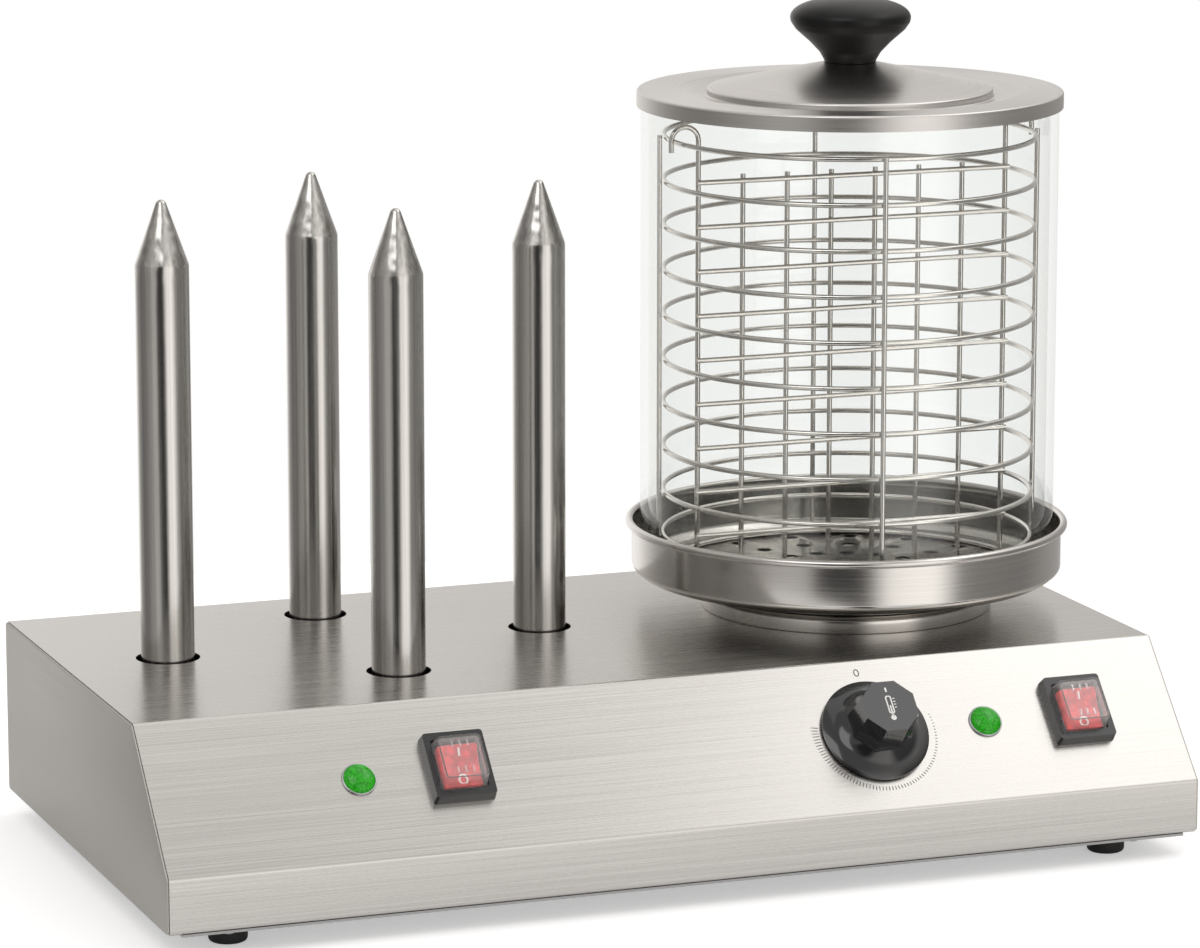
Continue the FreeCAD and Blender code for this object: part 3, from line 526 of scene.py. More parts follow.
def foldedSheet(corners):
    # outer line of a folded sheet, given in order, and the inner line back to the start
    outer = soften(corners, housing["bend"], closed=False, steps=8)
    inner = soften(offsetLine(corners, housing["sheet"]), housing["bend"] - housing["sheet"], closed=False, steps=8)
    return outer + inner[::-1]


def alongX(outline, start, end):
    # a shape with an outline of depth and height, from one side to the other
    bm = prism(outline, start, end)
    return moved(bm, Matrix(((0, 0, 1, 0), (1, 0, 0, 0), (0, 1, 0, 0), (0, 0, 0, 1))))


def upright(radius, x, y, low, high, sides=72):
    return prism(polygon(radius, sides, 0, (x, y)), low, high)


def housingShell():
    outline = foldedSheet([
        (shellLow.y + housing["flange"], shellLow.z),
        (shellLow.y, shellLow.z),
        (shellLow.y, housing["lowerBend"]),
        (shellLow.y + housing["slopeRun"], shellHigh.z),
        (shellHigh.y, shellHigh.z),
        (shellHigh.y, backHigh.z + housing["seam"]),
    ])
    shell = alongX(outline, shellLow.x, shellHigh.x)
    reach = housing["holeReach"]
    low, high = shellHigh.z - reach, shellHigh.z + reach
    cutters = [upright(collarInner, boiler[0], boiler[1], low, high, 144)]
    for x, y in rodCentres().values():
        cutters.append(upright(rodSeat["holeRadius"], x, y, low, high))
    for side in (-1, 1):
        lampHole = upright(housing["lampHole"], 0, 0, -reach, reach)
        cutters.append(onPanel(lampHole, side * panel["lampAcross"], panel["controlLine"]))
    for x in panel["switches"].values():
        cutters.append(onPanel(prism(rectangle(*housing["switchHole"]), -reach, reach), x, panel["switchLine"]))
    cutters.append(atKnob(upright(housing["knobHole"], 0, 0, -reach, reach)))
    shell = cutAway(shell, cutters)
    addPiece("folded_housing", shell, "base", panelSteel, ["housing_shell"])


def backPlate():
    # the lower back, with a seam under the shell's flange and the hole for the cord inlet
    outline = foldedSheet([
        (backHigh.y, backHigh.z - housing["seam"]),
        (backHigh.y, backLow.z),
        (backHigh.y - housing["flange"], backLow.z),
    ])
    plate = alongX(outline, backLow.x, backHigh.x)
    glandLow, glandHigh = nodeBox("cable_gland")
    place = Matrix.Translation(((glandLow.x + glandHigh.x) / 2, backHigh.y, (glandLow.z + glandHigh.z) / 2))
    hole = upright(housing["glandHole"], 0, 0, -housing["holeReach"], housing["holeReach"])
    hole = moved(hole, place @ Matrix.Rotation(pi / 2, 4, "X"))
    addPiece("back_plate", cutAway(plate, [hole]), "base", panelSteel, ["back_panel"])


sidePlate = {"inset": 0.4, "edge": 0.35, "rim": 12.0, "rimOuter": (1.25, 1.4), "rimInner": (2.2, 0.6)}


def sidePanel(side):
    # flat end plate with softened edges, over the rim that is folded inside the shell
    name = "left" if side < 0 else "right"
    low, high = nodeBox("side_panel_" + name)
    corners = [
        (shellLow.y, shellLow.z),
        (shellLow.y, housing["lowerBend"]),
        (shellLow.y + housing["slopeRun"], shellHigh.z),
        (shellHigh.y, shellHigh.z),
        (shellHigh.y, shellLow.z),
    ]

    def inset(step, bend, steps=4):
        return soften(offsetLine(corners, step, closed=True), bend, steps=steps)

    outer = low.x if side < 0 else high.x
    inner = outer - side * housing["sheet"]
    plate = alongX(inset(sidePlate["inset"], housing["bend"], 8), min(outer, inner), max(outer, inner))
    roundEdges(plate, sidePlate["edge"], 2, 50)
    rimEnd = inner - side * sidePlate["rim"]
    bounds = (min(inner, rimEnd), max(inner, rimEnd))
    outerRim = alongX(inset(*sidePlate["rimOuter"]), *bounds)
    innerRim = alongX(inset(*sidePlate["rimInner"]), bounds[0] - 2, bounds[1] + 2)
    rim = cutAway(outerRim, [innerRim])
    addPiece("side_plate_" + name, joined([plate, rim]), "base", sidePlateSteelPaintedShade, ["side_panel_" + name])


housingShell()
backPlate()
for side in (-1, 1):
    sidePanel(side)

foot = {"radius": 9.3, "stem": 4.0, "round": 2.6, "waist": 0.5, "sole": 0.4}
screw = {"across": 220.0, "inset": 8.5, "head": 3.5, "rise": 2.2, "slot": (3.6, 0.7)}


def feet():
    low, high = nodeBox("rubber_feet")
    plateLow, plateHigh = nodeBox("base_plate")
    radius = foot["radius"]
    across = high.x - radius
    deep = (high.y - low.y) / 2 - radius
    middle = (high.y + low.y) / 2
    parts = []
    for x in (-across, across):
        for y in (middle - deep, middle + deep):
            outline = [(0, 0), (radius - foot["sole"], 0), (radius - foot["waist"], plateLow.z * 0.5),
                       (radius, plateLow.z), (foot["stem"], plateLow.z), (foot["stem"], high.z), (0, high.z)]
            parts.append(lathe(soften(outline, foot["round"], "lathe", 4), 48, (x, y)))
    addPiece("rubber_foot_set", joined(parts), "base", footRubber, ["rubber_feet"])
    screws = []
    top = plateLow.z
    length, width = screw["slot"]
    for x in (-screw["across"], screw["across"]):
        for y in (shellLow.y + screw["inset"], shellHigh.y - screw["inset"]):
            head = lathe([(0, top - screw["rise"]), (screw["head"] * 0.75, top - screw["rise"] * 0.85),
                          (screw["head"], top - 0.5), (screw["head"], top), (0, top)], 32, (x, y))
            slots = [prism(rectangle(length, width, (x, y)), top - 4, top - 1.1),
                     prism(rectangle(width, length, (x, y)), top - 4.1, top - 1.2)]
            screws.append(cutAway(head, slots))
    addPiece("base_screws", joined(screws), "base", zincSteel)


feet()

print("building the rods")

rod = {"radius": 12.5, "cone": 30.0, "nose": 2.6, "wall": 2.2, "shoulder": 67.0, "neck": 11.3, "soft": 1.6}


def rods():
    for name, (x, y) in rodCentres().items():
        low, high = nodeBox("heating_rod_" + name)
        cone = high.z - rod["cone"]
        bore = rod["radius"] - rod["wall"]
        slope = atan2(rod["radius"], rod["cone"])
        outline = [(bore, low.z), (rod["neck"], low.z), (rod["neck"], rod["shoulder"]),
                   (rod["radius"], rod["shoulder"])]
        shoulder = soften([(rod["radius"], rod["shoulder"]), (rod["radius"], cone),
                           (rod["nose"] * cos(slope), high.z - rod["nose"] * (1 - sin(slope)))], 6.0, False, 8)
        outline += shoulder[1:]
        for step in range(1, 7):
            angle = slope + (pi / 2 - slope) * step / 6
            outline.append((rod["nose"] * cos(angle) if step < 6 else 0, high.z - rod["nose"] * (1 - sin(angle))))
        outline += [(0, cone - 4), (bore, cone - 4)]
        addPiece("rod_" + name, lathe(outline, 96, (x, y)), "base", polishedRod,
                 ["heating_rod_" + name])


rods()

print("building the boiler")

boilerRound = {"wall": 104.0, "rim": 107.0, "neck": 68.2, "sheet": 0.8, "rimTube": 1.9, "dish": 104.4,
               "dishRise": 0.2476, "corner": 99.5, "cornerRise": 3.2, "collar": 70.6, "heater": 65.0,
               "glass": (96.0, 100.0)}
glassFoot = boilerRound["dish"] + (boilerRound["corner"] - boilerRound["neck"]) * boilerRound["dishRise"] + 0.3


def boilerCollar():
    low, high = nodeBox("boiler_collar")
    outer = boilerRound["collar"]
    outline = [(collarInner, low.z), (outer, low.z), (outer, high.z), (collarInner, high.z)]
    addPiece("collar_ring", lathe(soften(outline, 0.6), 160, boiler), "base", spunSteel,
             ["boiler_collar"])


def heatingPlate():
    low, high = nodeBox("heating_plate")
    radius = boilerRound["heater"]
    outline = [(0, low.z), (radius, low.z), (radius, high.z), (0, high.z)]
    addPiece("heater_disc", lathe(soften(outline, 1.0, "lathe"), 96, boiler), "base", castMetal,
             ["heating_plate"])


def pan():
    # pressed sheet with a dished floor, a rounded lower edge and a bead rolled round its rim
    b = boilerRound
    sheet = b["sheet"]
    edge = b["dish"] + (b["corner"] - b["neck"]) * b["dishRise"]
    under = sheet * sqrt(1 + b["dishRise"] ** 2)
    top = panHigh.z - b["rimTube"]
    outer = [
        (0, panLow.z), (b["neck"], panLow.z), (b["neck"], b["dish"] - under), (b["corner"] + 0.6, edge - under),
        (b["wall"], edge - under + b["cornerRise"]), (b["wall"], top),
    ]
    inner = [
        (b["wall"] - sheet, top), (b["wall"] - sheet, edge + b["cornerRise"]), (b["corner"], edge),
        (b["neck"] - sheet, b["dish"]), (b["neck"] - sheet, panLow.z + sheet), (0, panLow.z + sheet),
    ]
    bead = polygon(b["rimTube"], 24, 0, (b["rim"] - b["rimTube"], top))
    outline = soften(outer, 3.6, False, 6) + soften(inner, 2.8, False, 6)
    addPiece("water_pan", joined([lathe(outline, 200, boiler), lathe(bead, 200, boiler)]), "pan", spunSteel,
             ["evaporation_pan"])


def glassTube():
    inner, outer = boilerRound["glass"]
    outline = [(inner, glassFoot), (outer, glassFoot), (outer, glassHigh.z), (inner, glassHigh.z)]
    addPiece("glass_tube", lathe(soften(outline, 0.9), 200, boiler), "glass", wallGlass,
             ["glass_cylinder"])


boilerCollar()
heatingPlate()
pan()
glassTube()

print("building the basket")

wire = {"radius": 1.25, "ring": 89.0, "rings": 11, "pitch": 21.58, "firstPitch": 18.1, "turn": -12.65,
        "ringSteps": 120, "posts": 4, "floor": 89.4, "holeCircles": (2, 3, 4), "holeRadius": 3.8, "holeRays": 17,
        "holeStep": 20.3, "holeTurn": 23.1}
divider = {"forward": 5.0, "pitch": 22.8, "verticals": 8, "rows": 9, "rowPitch": 21.34, "firstRow": 135.1,
           "overrun": 3.0, "hook": 6.9, "hookTop": 332.5, "drop": 5.0, "weld": 0.35}


def boilerPoint(x, y, z):
    return Vector((boiler[0] + x, boiler[1] + y, z))


def ringHeights(floorTop):
    first = floorTop + wire["radius"]
    return [first] + [first + wire["firstPitch"] + index * wire["pitch"] for index in range(wire["rings"] - 1)]


def basket():
    floorLow, floorHigh = nodeBox("basket_floor")
    low, high = nodeBox("basket_uprights")
    hoops = []
    for z in ringHeights(floorHigh.z):
        path = []
        for step in range(wire["ringSteps"]):
            angle = 2 * pi * step / wire["ringSteps"]
            path.append(boilerPoint(wire["ring"] * cos(angle), wire["ring"] * sin(angle), z))
        hoops.append(tube(path, (0, 0, 1), wire["radius"], 12, True))
    addPiece("wire_hoops", joined(hoops), "basket", wireSteel, ["basket_hoops"], 50)
    out = (high.x - low.x) / 2 / cos(radians(wire["turn"])) - wire["radius"]
    uprights = []
    for index in range(wire["posts"]):
        angle = 2 * pi * index / wire["posts"] + radians(wire["turn"])
        foot = boilerPoint(out * cos(angle), out * sin(angle), floorHigh.z)
        top = boilerPoint(out * cos(angle), out * sin(angle), high.z)
        uprights.append(roundEdges(tube([foot, top], (-sin(angle), cos(angle), 0), wire["radius"], 16), 0.4, 2, 60))
    addPiece("basket_posts", joined(uprights), "basket", wireSteel, ["basket_uprights"], 50)
    disc = [(0, floorLow.z), (wire["floor"], floorLow.z), (wire["floor"], floorHigh.z), (0, floorHigh.z)]
    plate = lathe(soften(disc, 0.3, "lathe"), 120, boiler)
    holes = []
    for circle in wire["holeCircles"]:
        for ray in range(wire["holeRays"]):
            angle = radians(wire["holeTurn"] + 360 * ray / wire["holeRays"])
            reach = circle * wire["holeStep"]
            holes.append(upright(wire["holeRadius"], boiler[0] + reach * cos(angle), boiler[1] + reach * sin(angle),
                                 floorLow.z - 1, floorHigh.z + 1, 24))
    addPiece("perforated_floor", cutAway(plate, holes), "basket", spunSteel, ["basket_floor"])


def grid():
    low, high = nodeBox("basket_divider")
    half = divider["pitch"] * (divider["verticals"] - 1) / 2
    y = -divider["forward"]
    topRow = divider["firstRow"] + divider["rowPitch"] * (divider["rows"] - 1)
    parts = []
    for index in range(1, divider["verticals"] - 1):
        x = index * divider["pitch"] - half
        parts.append(tube([boilerPoint(x, y, low.z), boilerPoint(x, y, topRow + divider["overrun"])],
                          (0, 1, 0), wire["radius"], 12))
    for side in (-1, 1):
        arch = divider["hookTop"] - divider["hook"]
        path = [boilerPoint(side * half, y, low.z)]
        for step in range(17):
            angle = pi * step / 16
            path.append(boilerPoint(side * (half + divider["hook"] * (1 - cos(angle))), y,
                                    arch + divider["hook"] * sin(angle)))
        path.append(boilerPoint(side * (half + 2 * divider["hook"]), y, arch - divider["drop"]))
        parts.append(tube(path, (0, 1, 0), wire["radius"], 14))
    front = y - 2 * wire["radius"] + divider["weld"]
    width = half + wire["radius"]
    for row in range(divider["rows"]):
        z = divider["firstRow"] + row * divider["rowPitch"]
        ends = [boilerPoint(-width, front, z), boilerPoint(width, front, z)]
        parts.append(tube(ends, (0, 0, 1), wire["radius"], 12))
    addPiece("divider_grid", joined(parts), "divider", wireSteel, ["basket_divider"], 50)


basket()
grid()

print("building the lid")

cover = {"skirt": 7.5, "grooveOuter": 82.0, "groove": 3.0, "dome": 68.4, "domeRim": 1.0, "crown": 13.0,
         "sheet": 0.8, "screwHole": 2.8, "stem": 12.4, "rim": 21.6, "bore": 2.6, "boreDepth": 14.0,
         "flare": [(12.5, 1.2), (14.6, 5.0), (19.6, 10.2), (26.2, 16.0), (28.6, 19.6), (28.8, 21.6)]}


def lidCover():
    top = lidHigh.z
    flange = lidLow.z + cover["skirt"]
    radius = (lidHigh.x - lidLow.x) / 2
    path = [(cover["screwHole"], top), (cover["crown"], top), (cover["dome"], flange + cover["domeRim"]),
            (cover["dome"], flange - cover["groove"]), (cover["grooveOuter"], flange), (radius, flange),
            (radius, lidLow.z)]
    under = offsetLine(path, cover["sheet"])
    outline = soften(path, 1.4, False, 5) + soften(under, 0.8, False, 5)[::-1]
    addPiece("lid_cover", lathe(outline, 200, boiler), "cover", lidSteel, ["lid"])


def lidKnob():
    # a stem that flares into a thick rounded cap
    low, high = nodeBox("lid_knob")
    radius = (high.x - low.x) / 2
    flare = [(stem, low.z + rise) for stem, rise in cover["flare"]]
    boreTop = low.z + cover["boreDepth"]
    outline = [(cover["bore"], boreTop), (cover["bore"], low.z), (cover["stem"] - 0.5, low.z),
               (cover["stem"], low.z + 0.5)]
    outline += soften(flare, 9.0, False, 6)
    rim = low.z + cover["rim"]
    for step in range(1, 17):
        share = pi / 2 * step / 16
        outline.append((radius * cos(share) ** 0.75 if step < 16 else 0, rim + (high.z - rim) * sin(share)))
    outline.append((0, boreTop))
    addPiece("black_lid_knob", lathe(outline, 96, boiler), "cover", satinBlack, ["lid_knob"])


lidCover()
lidKnob()

print("building the controls")

switch = {"bezel": (29.4, 33.9), "bezelTop": (28.4, 32.9), "height": 5.5, "corner": 1.8, "body": (21.4, 26.4),
          "depth": 24.0, "well": (18.6, 23.2), "ledge": 4.0, "seat": (22.4, 25.6), "wellFloor": -6.5}
splashCap = {"base": (22.0, 25.2), "top": (20.4, 21.5), "low": 4.0, "high": 12.4, "wall": 0.9, "corner": 2.4}
capRib = {"size": (0.8, 3.4), "across": 3.6, "end": 6.6, "sink": 0.35, "proud": 0.3}
rockerForm = {"width": 17.8, "tilt": 13.0, "half": 9.6, "end": 7.6, "middle": 6.4, "pivot": -0.5}
rockerMarks = {"bar": (1.0, 4.2), "barAt": 6.4, "ring": 2.3, "ringInner": 1.5, "ringAt": -6.3, "lean": 8.0,
               "height": 0.12}


def switchBezel(name, x):
    bezel = prism(soften(rectangle(*switch["bezel"]), switch["corner"], True, 5), 0, switch["height"],
                  soften(rectangle(*switch["bezelTop"]), switch["corner"], True, 5))
    roundEdges(bezel, 0.7, 3, 50)
    behind = prism(rectangle(*switch["body"]), -switch["depth"], 0.5)
    well = prism(rectangle(*switch["well"]), switch["wellFloor"], 9)
    seat = prism(soften(rectangle(*switch["seat"]), 1.6, True, 4), switch["ledge"], 9)
    body = cutAway(cutAway(bezel, [seat]), [well.copy()])
    box = cutAway(behind, [well])
    whole = onPanel(joined([body, box]), x, panel["switchLine"])
    addPiece("switch_bezel_" + name, whole, "base", bezelBlack, ["switch_body_" + name])


def rockerPaddle(name, x):
    f = rockerForm
    face = []
    for step in range(9):
        share = step / 8 * 2 - 1
        face.append((share * f["half"], f["middle"] + (f["end"] - f["middle"]) * share * share))
    outline = face[::-1] + [(-f["half"] + 0.6, 0), (-4, -4), (4, -4), (f["half"] - 0.6, 0)]
    paddle = roundEdges(alongX(outline, -f["width"] / 2, f["width"] / 2), 0.5, 3, 50)
    place = Matrix.Translation((0, 0, f["pivot"])) @ Matrix.Rotation(radians(f["tilt"]), 4, "X")
    body = "switch_" + name
    addPiece("rocker_paddle_" + name, onPanel(moved(paddle, place), x, panel["switchLine"]), body, redRockerPaintedGlow,
             ["rocker_" + name])
    m = rockerMarks
    ring = cutAway(prism(polygon(m["ring"], 40), 0, m["height"]), [prism(polygon(m["ringInner"], 40), -1, 1)])
    marks = []
    for mark, y, lean in ((prism(rectangle(*m["bar"]), 0, m["height"]), m["barAt"], m["lean"]),
                          (ring, m["ringAt"], -m["lean"])):
        seat = Matrix.Translation((0, y, f["middle"] + 0.5)) @ Matrix.Rotation(radians(lean), 4, "X")
        marks.append(moved(mark, seat))
    printed = onPanel(moved(joined(marks), place), x, panel["switchLine"])
    addPiece("rocker_marks_" + name, printed, body, whitePrint)


def splashCover(name, x):
    c = splashCap

    def shape(inset, low, high):
        base, top = (soften(rectangle(width - 2 * inset, length - 2 * inset), c["corner"] - inset, True, 5)
                     for width, length in (c["base"], c["top"]))
        return prism(base, low, high, top)

    outer = roundEdges(shape(0, c["low"], c["high"]), 0.8, 3, 50)
    cap = cutAway(outer, [shape(c["wall"], c["low"] - 0.5, c["high"] - c["wall"])])
    ribs = []
    for end in (-1, 1):
        for index in (-1, 0, 1):
            outline = rectangle(*capRib["size"], (index * capRib["across"], end * capRib["end"]))
            ribs.append(prism(outline, c["high"] - c["wall"] - capRib["sink"], c["high"] - capRib["proud"]))
    whole = onPanel(joined([cap] + ribs), x, panel["switchLine"])
    addPiece("splash_cap_" + name, whole, "base", capPlastic, ["switch_cover_" + name])


for name, x in panel["switches"].items():
    switchBezel(name, x)
    rockerPaddle(name, x)
    splashCover(name, x)

lamp = {"radius": 7.3, "flange": 8.0, "rim": 0.9, "height": 4.4, "stem": 5.8, "length": 16.0, "gap": 0.02,
        "rows": 5, "facets": 24}


def lamps():
    # domed lens with rings of small facets, in a thin bright rim
    lenses = []
    rims = []
    for side in (-1, 1):
        outline = [(0, -lamp["length"]), (lamp["stem"], -lamp["length"]), (lamp["stem"], lamp["gap"]),
                   (lamp["radius"], lamp["gap"]), (lamp["radius"], lamp["rim"])]
        for row in range(1, lamp["rows"] + 1):
            angle = pi / 2 * row / lamp["rows"]
            outline.append((lamp["radius"] * cos(angle) if row < lamp["rows"] else 0,
                            lamp["rim"] + (lamp["height"] - lamp["rim"]) * sin(angle)))
        inner = lamp["radius"] + lamp["gap"]
        outer = lamp["flange"]
        rim = soften([(inner, 0), (outer, 0), (outer, lamp["rim"]), (inner, lamp["rim"] + 0.2)], 0.25)
        for parts, shape in ((lenses, lathe(outline, lamp["facets"])), (rims, lathe(rim, 64))):
            parts.append(onPanel(shape, side * panel["lampAcross"], panel["controlLine"]))
    addPiece("green_lenses", joined(lenses), "base", greenLens, ["lamp_lenses"], 12)
    addPiece("lamp_rims", joined(rims), "base", zincSteel)


lamps()

dial = {"radius": 25.7, "gap": 0.5, "rim": 2.4, "shoulder": 21.1, "rise": 9.3, "gripLow": 28.6, "gripHigh": 25.6,
        "top": 24.5, "sides": 8, "spindle": 3.05, "socket": 17.2}


def thermostatKnob():
    # round skirt that sweeps up into an eight-sided grip
    d = dial
    skirt = [(d["spindle"], d["gap"]), (d["radius"] - 0.4, d["gap"]), (d["radius"], d["gap"] + 0.5),
             (d["radius"], d["gap"] + d["rim"] - 0.4), (d["radius"] - 0.6, d["gap"] + d["rim"])]
    for step in range(11):
        share = step / 10
        radius = d["shoulder"] + (d["gripLow"] / 2 - 1.5 - d["shoulder"]) * share
        skirt.append((radius, d["gap"] + d["rim"] + 1.1 + (d["rise"] - d["gap"] - d["rim"] - 1.1) * share ** 1.6))
    skirt += [(d["spindle"], d["rise"] - 1)]
    base = lathe(skirt, 128)
    turn = pi / d["sides"]
    scale = 1 / cos(turn)
    grip = prism(polygon(d["gripLow"] / 2 * scale, d["sides"], turn), d["rise"] - 3.5, d["top"],
                 polygon(d["gripHigh"] / 2 * scale, d["sides"], turn))
    roundEdges(grip, 1.0, 4, 30)
    grip = cutAway(grip, [prism(polygon(d["spindle"], 32), 0, d["socket"])])
    addPiece("thermostat_dial", atKnob(joined([base, grip])), "knob", glossBlack, ["thermostat_knob"], 30)


mark = {"height": 0.1, "pointer": (0.9, 2.2), "pointerAt": 8.4, "tube": (3.0, 9.4), "bore": (1.7, 8.2), "tubeAt": 0.6,
        "bulb": 3.2, "bulbInner": 2.3, "bulbAt": -6.2, "level": (0.7, 5.6), "levelAt": -2.6, "drop": 1.35,
        "tick": (1.1, 0.45), "tickAcross": 2.5, "tickTop": 3.6, "tickPitch": 1.5, "ticks": 4}


def knobPrint():
    # pointer stroke and thermometer sign on the grip's face
    top = dial["top"]

    def printed(outline):
        return prism(outline, top, top + mark["height"])

    def gap(outline):
        return prism(outline, top - 1, top + 1)

    bulb = (0, mark["bulbAt"])
    tubeOuter = soften(rectangle(*mark["tube"], (0, mark["tubeAt"])), 1.5, True, 6)
    tubeInner = soften(rectangle(*mark["bore"], (0, mark["tubeAt"])), 0.85, True, 6)
    parts = [
        printed(rectangle(*mark["pointer"], (0, mark["pointerAt"]))),
        cutAway(printed(tubeOuter), [gap(tubeInner), gap(polygon(mark["bulbInner"] - 0.1, 32, 0, bulb))]),
        cutAway(printed(polygon(mark["bulb"], 40, 0, bulb)),
                [gap(polygon(mark["bulbInner"], 40, 0, bulb)), gap(rectangle(mark["bore"][0], 4, (0, -3.6)))]),
        printed(polygon(mark["drop"], 24, 0, bulb)),
        printed(rectangle(*mark["level"], (0, mark["levelAt"]))),
    ]
    for index in range(mark["ticks"]):
        place = (mark["tickAcross"], mark["tickTop"] - index * mark["tickPitch"])
        parts.append(printed(rectangle(*mark["tick"], place)))
    addPiece("dial_print", atKnob(joined(parts)), "knob", whitePrint)


scale = {"outer": 30.6, "first": 30.0, "last": 27.3, "count": 67, "start": 77.0, "end": 280.0, "stroke": 0.34,
         "height": 0.06, "zeroLine": 72.6, "zeroSize": (2.7, 3.9), "zeroStroke": 0.45}


def dialScale():
    # printed strokes that grow longer round the knob, and the zero above it
    parts = []
    for index in range(scale["count"]):
        share = index / (scale["count"] - 1)
        angle = radians(scale["start"] + (scale["end"] - scale["start"]) * share)
        inner = scale["first"] + (scale["last"] - scale["first"]) * share
        stroke = prism(rectangle(scale["stroke"], scale["outer"] - inner, (0, (scale["outer"] + inner) / 2)), 0,
                       scale["height"])
        parts.append(moved(stroke, Matrix.Rotation(-angle, 4, "Z")))
    width, tall = scale["zeroSize"]
    drop = scale["zeroLine"] - panel["knobLine"]

    def oval(less):
        return [((width / 2 - less) * cos(2 * pi * step / 48), drop + (tall / 2 - less) * sin(2 * pi * step / 48))
                for step in range(48)]

    parts.append(cutAway(prism(oval(0), 0, scale["height"]), [prism(oval(scale["zeroStroke"]), -1, 1)]))
    addPiece("dial_scale", atKnob(joined(parts)), "base", blackPrint)


thermostatKnob()
knobPrint()
dialScale()

print("building the cord inlet")

gland = {"flats": 17.0, "flange": 4.0, "cap": 7.6, "ribDepth": 0.7, "taper": 0.88, "ribs": 14, "bore": 4.0,
         "barrel": 6.0, "barrelLength": 12.0}


def cordInlet():
    low, high = nodeBox("cable_gland")
    middle = ((low.x + high.x) / 2, (low.z + high.z) / 2)
    flange = roundEdges(prism(polygon(gland["flats"] / sqrt(3), 6), 0, gland["flange"]), 0.5, 2)
    capOutline = []
    for rib in range(gland["ribs"]):
        for part, radius in ((0, gland["cap"]), (0.5, gland["cap"] - gland["ribDepth"])):
            angle = 2 * pi * (rib + part) / gland["ribs"]
            capOutline.append((radius * cos(angle), radius * sin(angle)))
    capTop = high.y - shellHigh.y
    taper = gland["taper"]
    cap = prism(capOutline, gland["flange"], capTop, [(x * taper, y * taper) for x, y in capOutline])
    roundEdges(cap, 0.4, 2, 50)
    barrel = prism(polygon(gland["barrel"], 32), -gland["barrelLength"], 0)
    bore = prism(polygon(gland["bore"], 40), -14, 14)
    parts = [cutAway(part, [bore.copy()]) for part in (flange, cap, barrel)]
    place = Matrix.Translation((middle[0], shellHigh.y, middle[1])) @ Matrix.Rotation(-pi / 2, 4, "X")
    addPiece("cord_inlet", moved(joined(parts), place), "base", satinBlack, ["cable_gland"])


cordInlet()

print("dressing the pieces that stay as they are")

plainFinishes = {
    "base_plate": innerSteel,
    "rod_carrier": zincSteel,
    "boiler_cradle": zincSteel,
    "rod_nuts": zincSteel,
    "gland_nut": satinBlack,
    "lid_washer": zincSteel,
    "lid_screw": zincSteel,
    "rod_cartridges": darkSteel,
    "heating_element": darkSteel,
    "safety_cutout": bezelBlack,
    "thermostat_body": bezelBlack,
    "lamp_nuts": satinBlack,
    "switch_blades_left": brassPlain,
    "switch_blades_right": brassPlain,
    "thermostat_spindle": brassPlain,
    "earth_stud": brassPlain,
    "earth_nut": brassPlain,
    "terminal_block": paleMoulding,
}


def dressPlain():
    for name, finish in plainFinishes.items():
        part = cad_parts[name]
        part.data.materials.clear()
        part.data.materials.append(finish)


dressPlain()

print("setting the studio")

studio = {
    "floorRadius": 0.62,
    "floorTone": 0.86,
    "floorGlow": 0.42,
    "mirrorGlow": 0.16,
    "mirrorReach": 0.43,
    "wallBands": [(-180, 0.40), (-168, 0.34), (-150, 0.60), (-133, 0.66), (-128, 0.04), (-103, 0.04), (-98, 0.45),
                  (-91, 1.40), (-64, 1.65), (-56, 1.00), (-50, 0.30), (-4, 0.26), (20, 0.40), (48, 0.46), (62, 0.72),
                  (80, 1.20), (100, 1.25), (125, 0.50), (150, 0.22), (172, 0.24)],
    "wallTint": (1.0, 0.972, 0.945),
    "ceiling": [(0.10, 0.62), (0.55, 1.12)],
}
softLamps = {
    "key": {"place": (-1.3, -1.5, 2.3), "target": (0, 0, 0.1), "size": (1.8, 1.4), "power": 15.0},
    "top": {"place": (0.6, 0.3, 2.4), "target": (0, 0, 0.1), "size": (2.0, 2.0), "power": 6.0},
    "slope": {"place": (1.45, -0.65, 2.0), "target": (1.45, -0.65, 0), "size": (1.2, 1.6), "power": 7.0},
}
view = {
    "place": (-0.8694, -2.3186, 0.6641),
    "target": (0.0, -0.01306, 0.17613),
    "lens": 161.055,
}


def studioWorld():
    # walls of different tone round the table, for the metal to mirror, under a soft bright ceiling
    world = bpy.data.worlds.new("studio")
    bpy.context.scene.world = world
    world.use_nodes = True
    tree = world.node_tree
    back = tree.nodes["Background"]
    place = addNode(tree, "TexCoord")
    parts = addNode(tree, "SeparateXYZ", {0: place.outputs["Generated"]})
    angle = addNode(tree, "Math", {0: parts.outputs[1], 1: parts.outputs[0]}, operation="ARCTAN2")
    around = ranged(tree, angle.outputs[0], 0, 1, -pi, pi)
    bands = addNode(tree, "ValToRGB", {"Fac": around})
    stops = bands.color_ramp.elements
    for index, (bearing, tone) in enumerate(studio["wallBands"]):
        position = (bearing + 180) / 360
        stop = stops[index] if index < 2 else stops.new(position)
        stop.position = position
        stop.color = (tone / 2, tone / 2, tone / 2, 1)
    wall = addNode(tree, "Math", {0: bands.outputs["Color"], 1: 2.0}, operation="MULTIPLY")
    (left, leftTone), (right, rightTone) = studio["ceiling"]
    ceiling = ranged(tree, parts.outputs[0], leftTone, rightTone, left, right)
    high = ranged(tree, parts.outputs[2], 0, 1, 0.30, 0.62)
    tone = addNode(tree, "Mix", {0: high, 2: wall.outputs[0], 3: ceiling})
    seen = seenStraight(tree)
    strength = addNode(tree, "Mix", {0: seen, 2: tone.outputs[0], 3: 1.0})
    tree.links.new(strength.outputs[0], back.inputs["Strength"])
    tree.links.new(mixColours(tree, seen, studio["wallTint"], (1, 1, 1)), back.inputs["Color"])


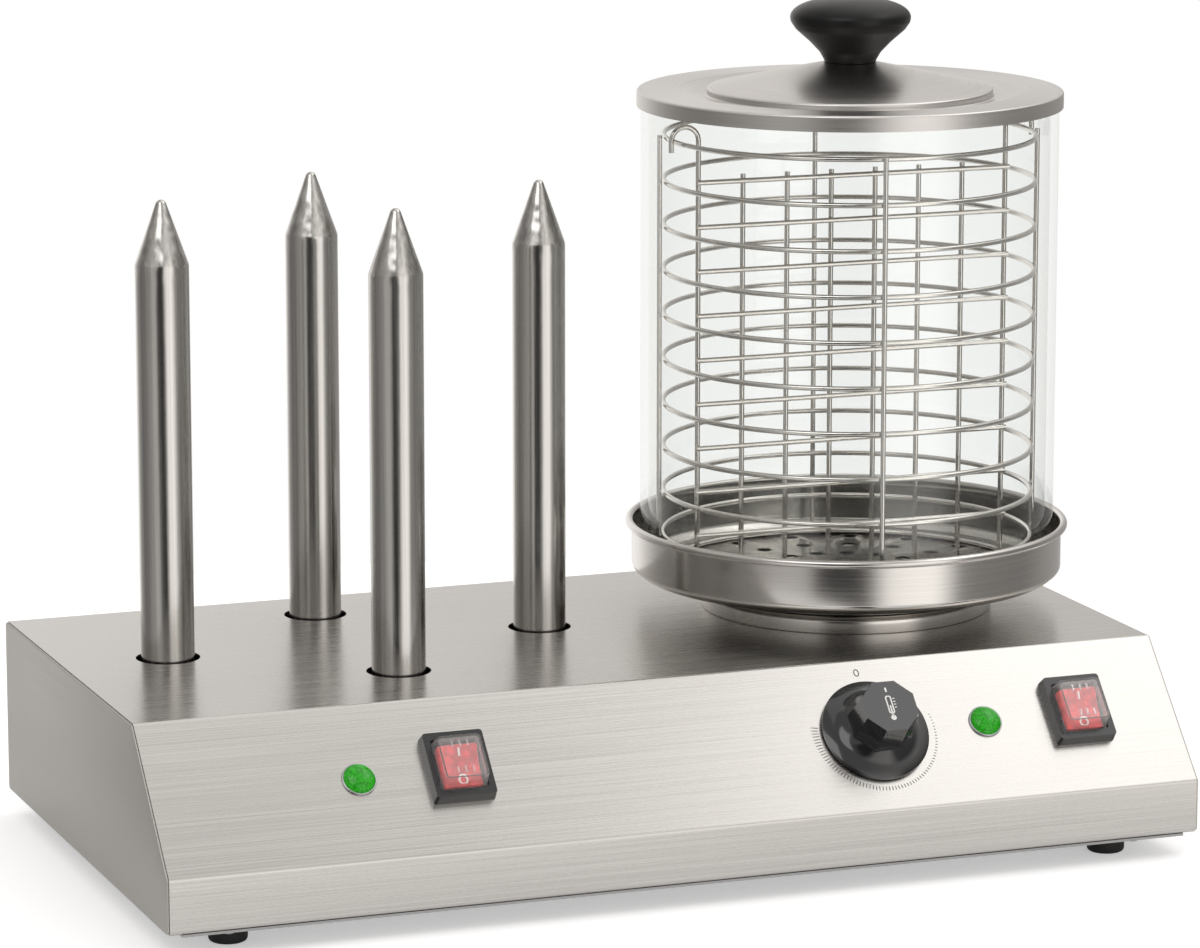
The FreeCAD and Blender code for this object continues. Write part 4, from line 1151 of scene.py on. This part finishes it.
def studioFloor():
    bm = bmesh.new()
    bmesh.ops.create_circle(bm, cap_ends=True, segments=96, radius=studio["floorRadius"])
    mesh = bpy.data.meshes.new("studio_floor")
    bm.to_mesh(mesh)
    bm.free()
    floor = bpy.data.objects.new("studio_floor", mesh)
    bpy.context.scene.collection.objects.link(floor)
    tone = studio["floorTone"]
    finish, tree, shader = newFinish("pale floor", (tone, tone, tone), 0.0, 0.9)
    light = addNode(tree, "LightPath")
    shown = addNode(tree, "Math", {0: seenStraight(tree), 1: studio["floorGlow"]}, operation="MULTIPLY")
    mirrored = addNode(tree, "Math", {0: light.outputs["Is Glossy Ray"], 1: studio["mirrorGlow"]},
                       operation="MULTIPLY")
    glow = addNode(tree, "Math", {0: shown.outputs[0], 1: mirrored.outputs[0]}, operation="MAXIMUM")
    shader.inputs["Emission Color"].default_value = (1, 1, 1, 1)
    tree.links.new(glow.outputs[0], shader.inputs["Emission Strength"])
    # past this reach the metal mirrors the walls and not the floor
    place = addNode(tree, "TexCoord")
    reach = addNode(tree, "VectorMath", {0: place.outputs["Object"]}, operation="LENGTH")
    beyond = addNode(tree, "Math", {0: reach.outputs["Value"], 1: studio["mirrorReach"]}, operation="GREATER_THAN")
    gone = addNode(tree, "Math", {0: beyond.outputs[0], 1: light.outputs["Is Glossy Ray"]}, operation="MULTIPLY")
    mixShaders(tree, gone.outputs[0], shader, addNode(tree, "BsdfTransparent"))
    mesh.materials.append(finish)


def areaLamp(name, place, target, size, power):
    data = bpy.data.lights.new(name, "AREA")
    data.shape = "RECTANGLE"
    data.size, data.size_y = size
    data.energy = power
    item = bpy.data.objects.new(name, data)
    item.location = place
    item.rotation_euler = (Vector(target) - Vector(place)).to_track_quat("-Z", "Y").to_euler()
    bpy.context.scene.collection.objects.link(item)


def studioCamera():
    data = bpy.data.cameras.new("photo_view")
    data.sensor_width = 36
    data.lens = view["lens"]
    data.clip_end = 50
    item = bpy.data.objects.new("photo_view", data)
    item.location = view["place"]
    item.rotation_euler = (Vector(view["target"]) - Vector(view["place"])).to_track_quat("-Z", "Y").to_euler()
    bpy.context.scene.collection.objects.link(item)
    bpy.context.scene.camera = item


studioWorld()
studioFloor()
for name, values in softLamps.items():
    areaLamp(name, **values)
studioCamera()
bpy.context.scene.view_settings.view_transform = "Standard"
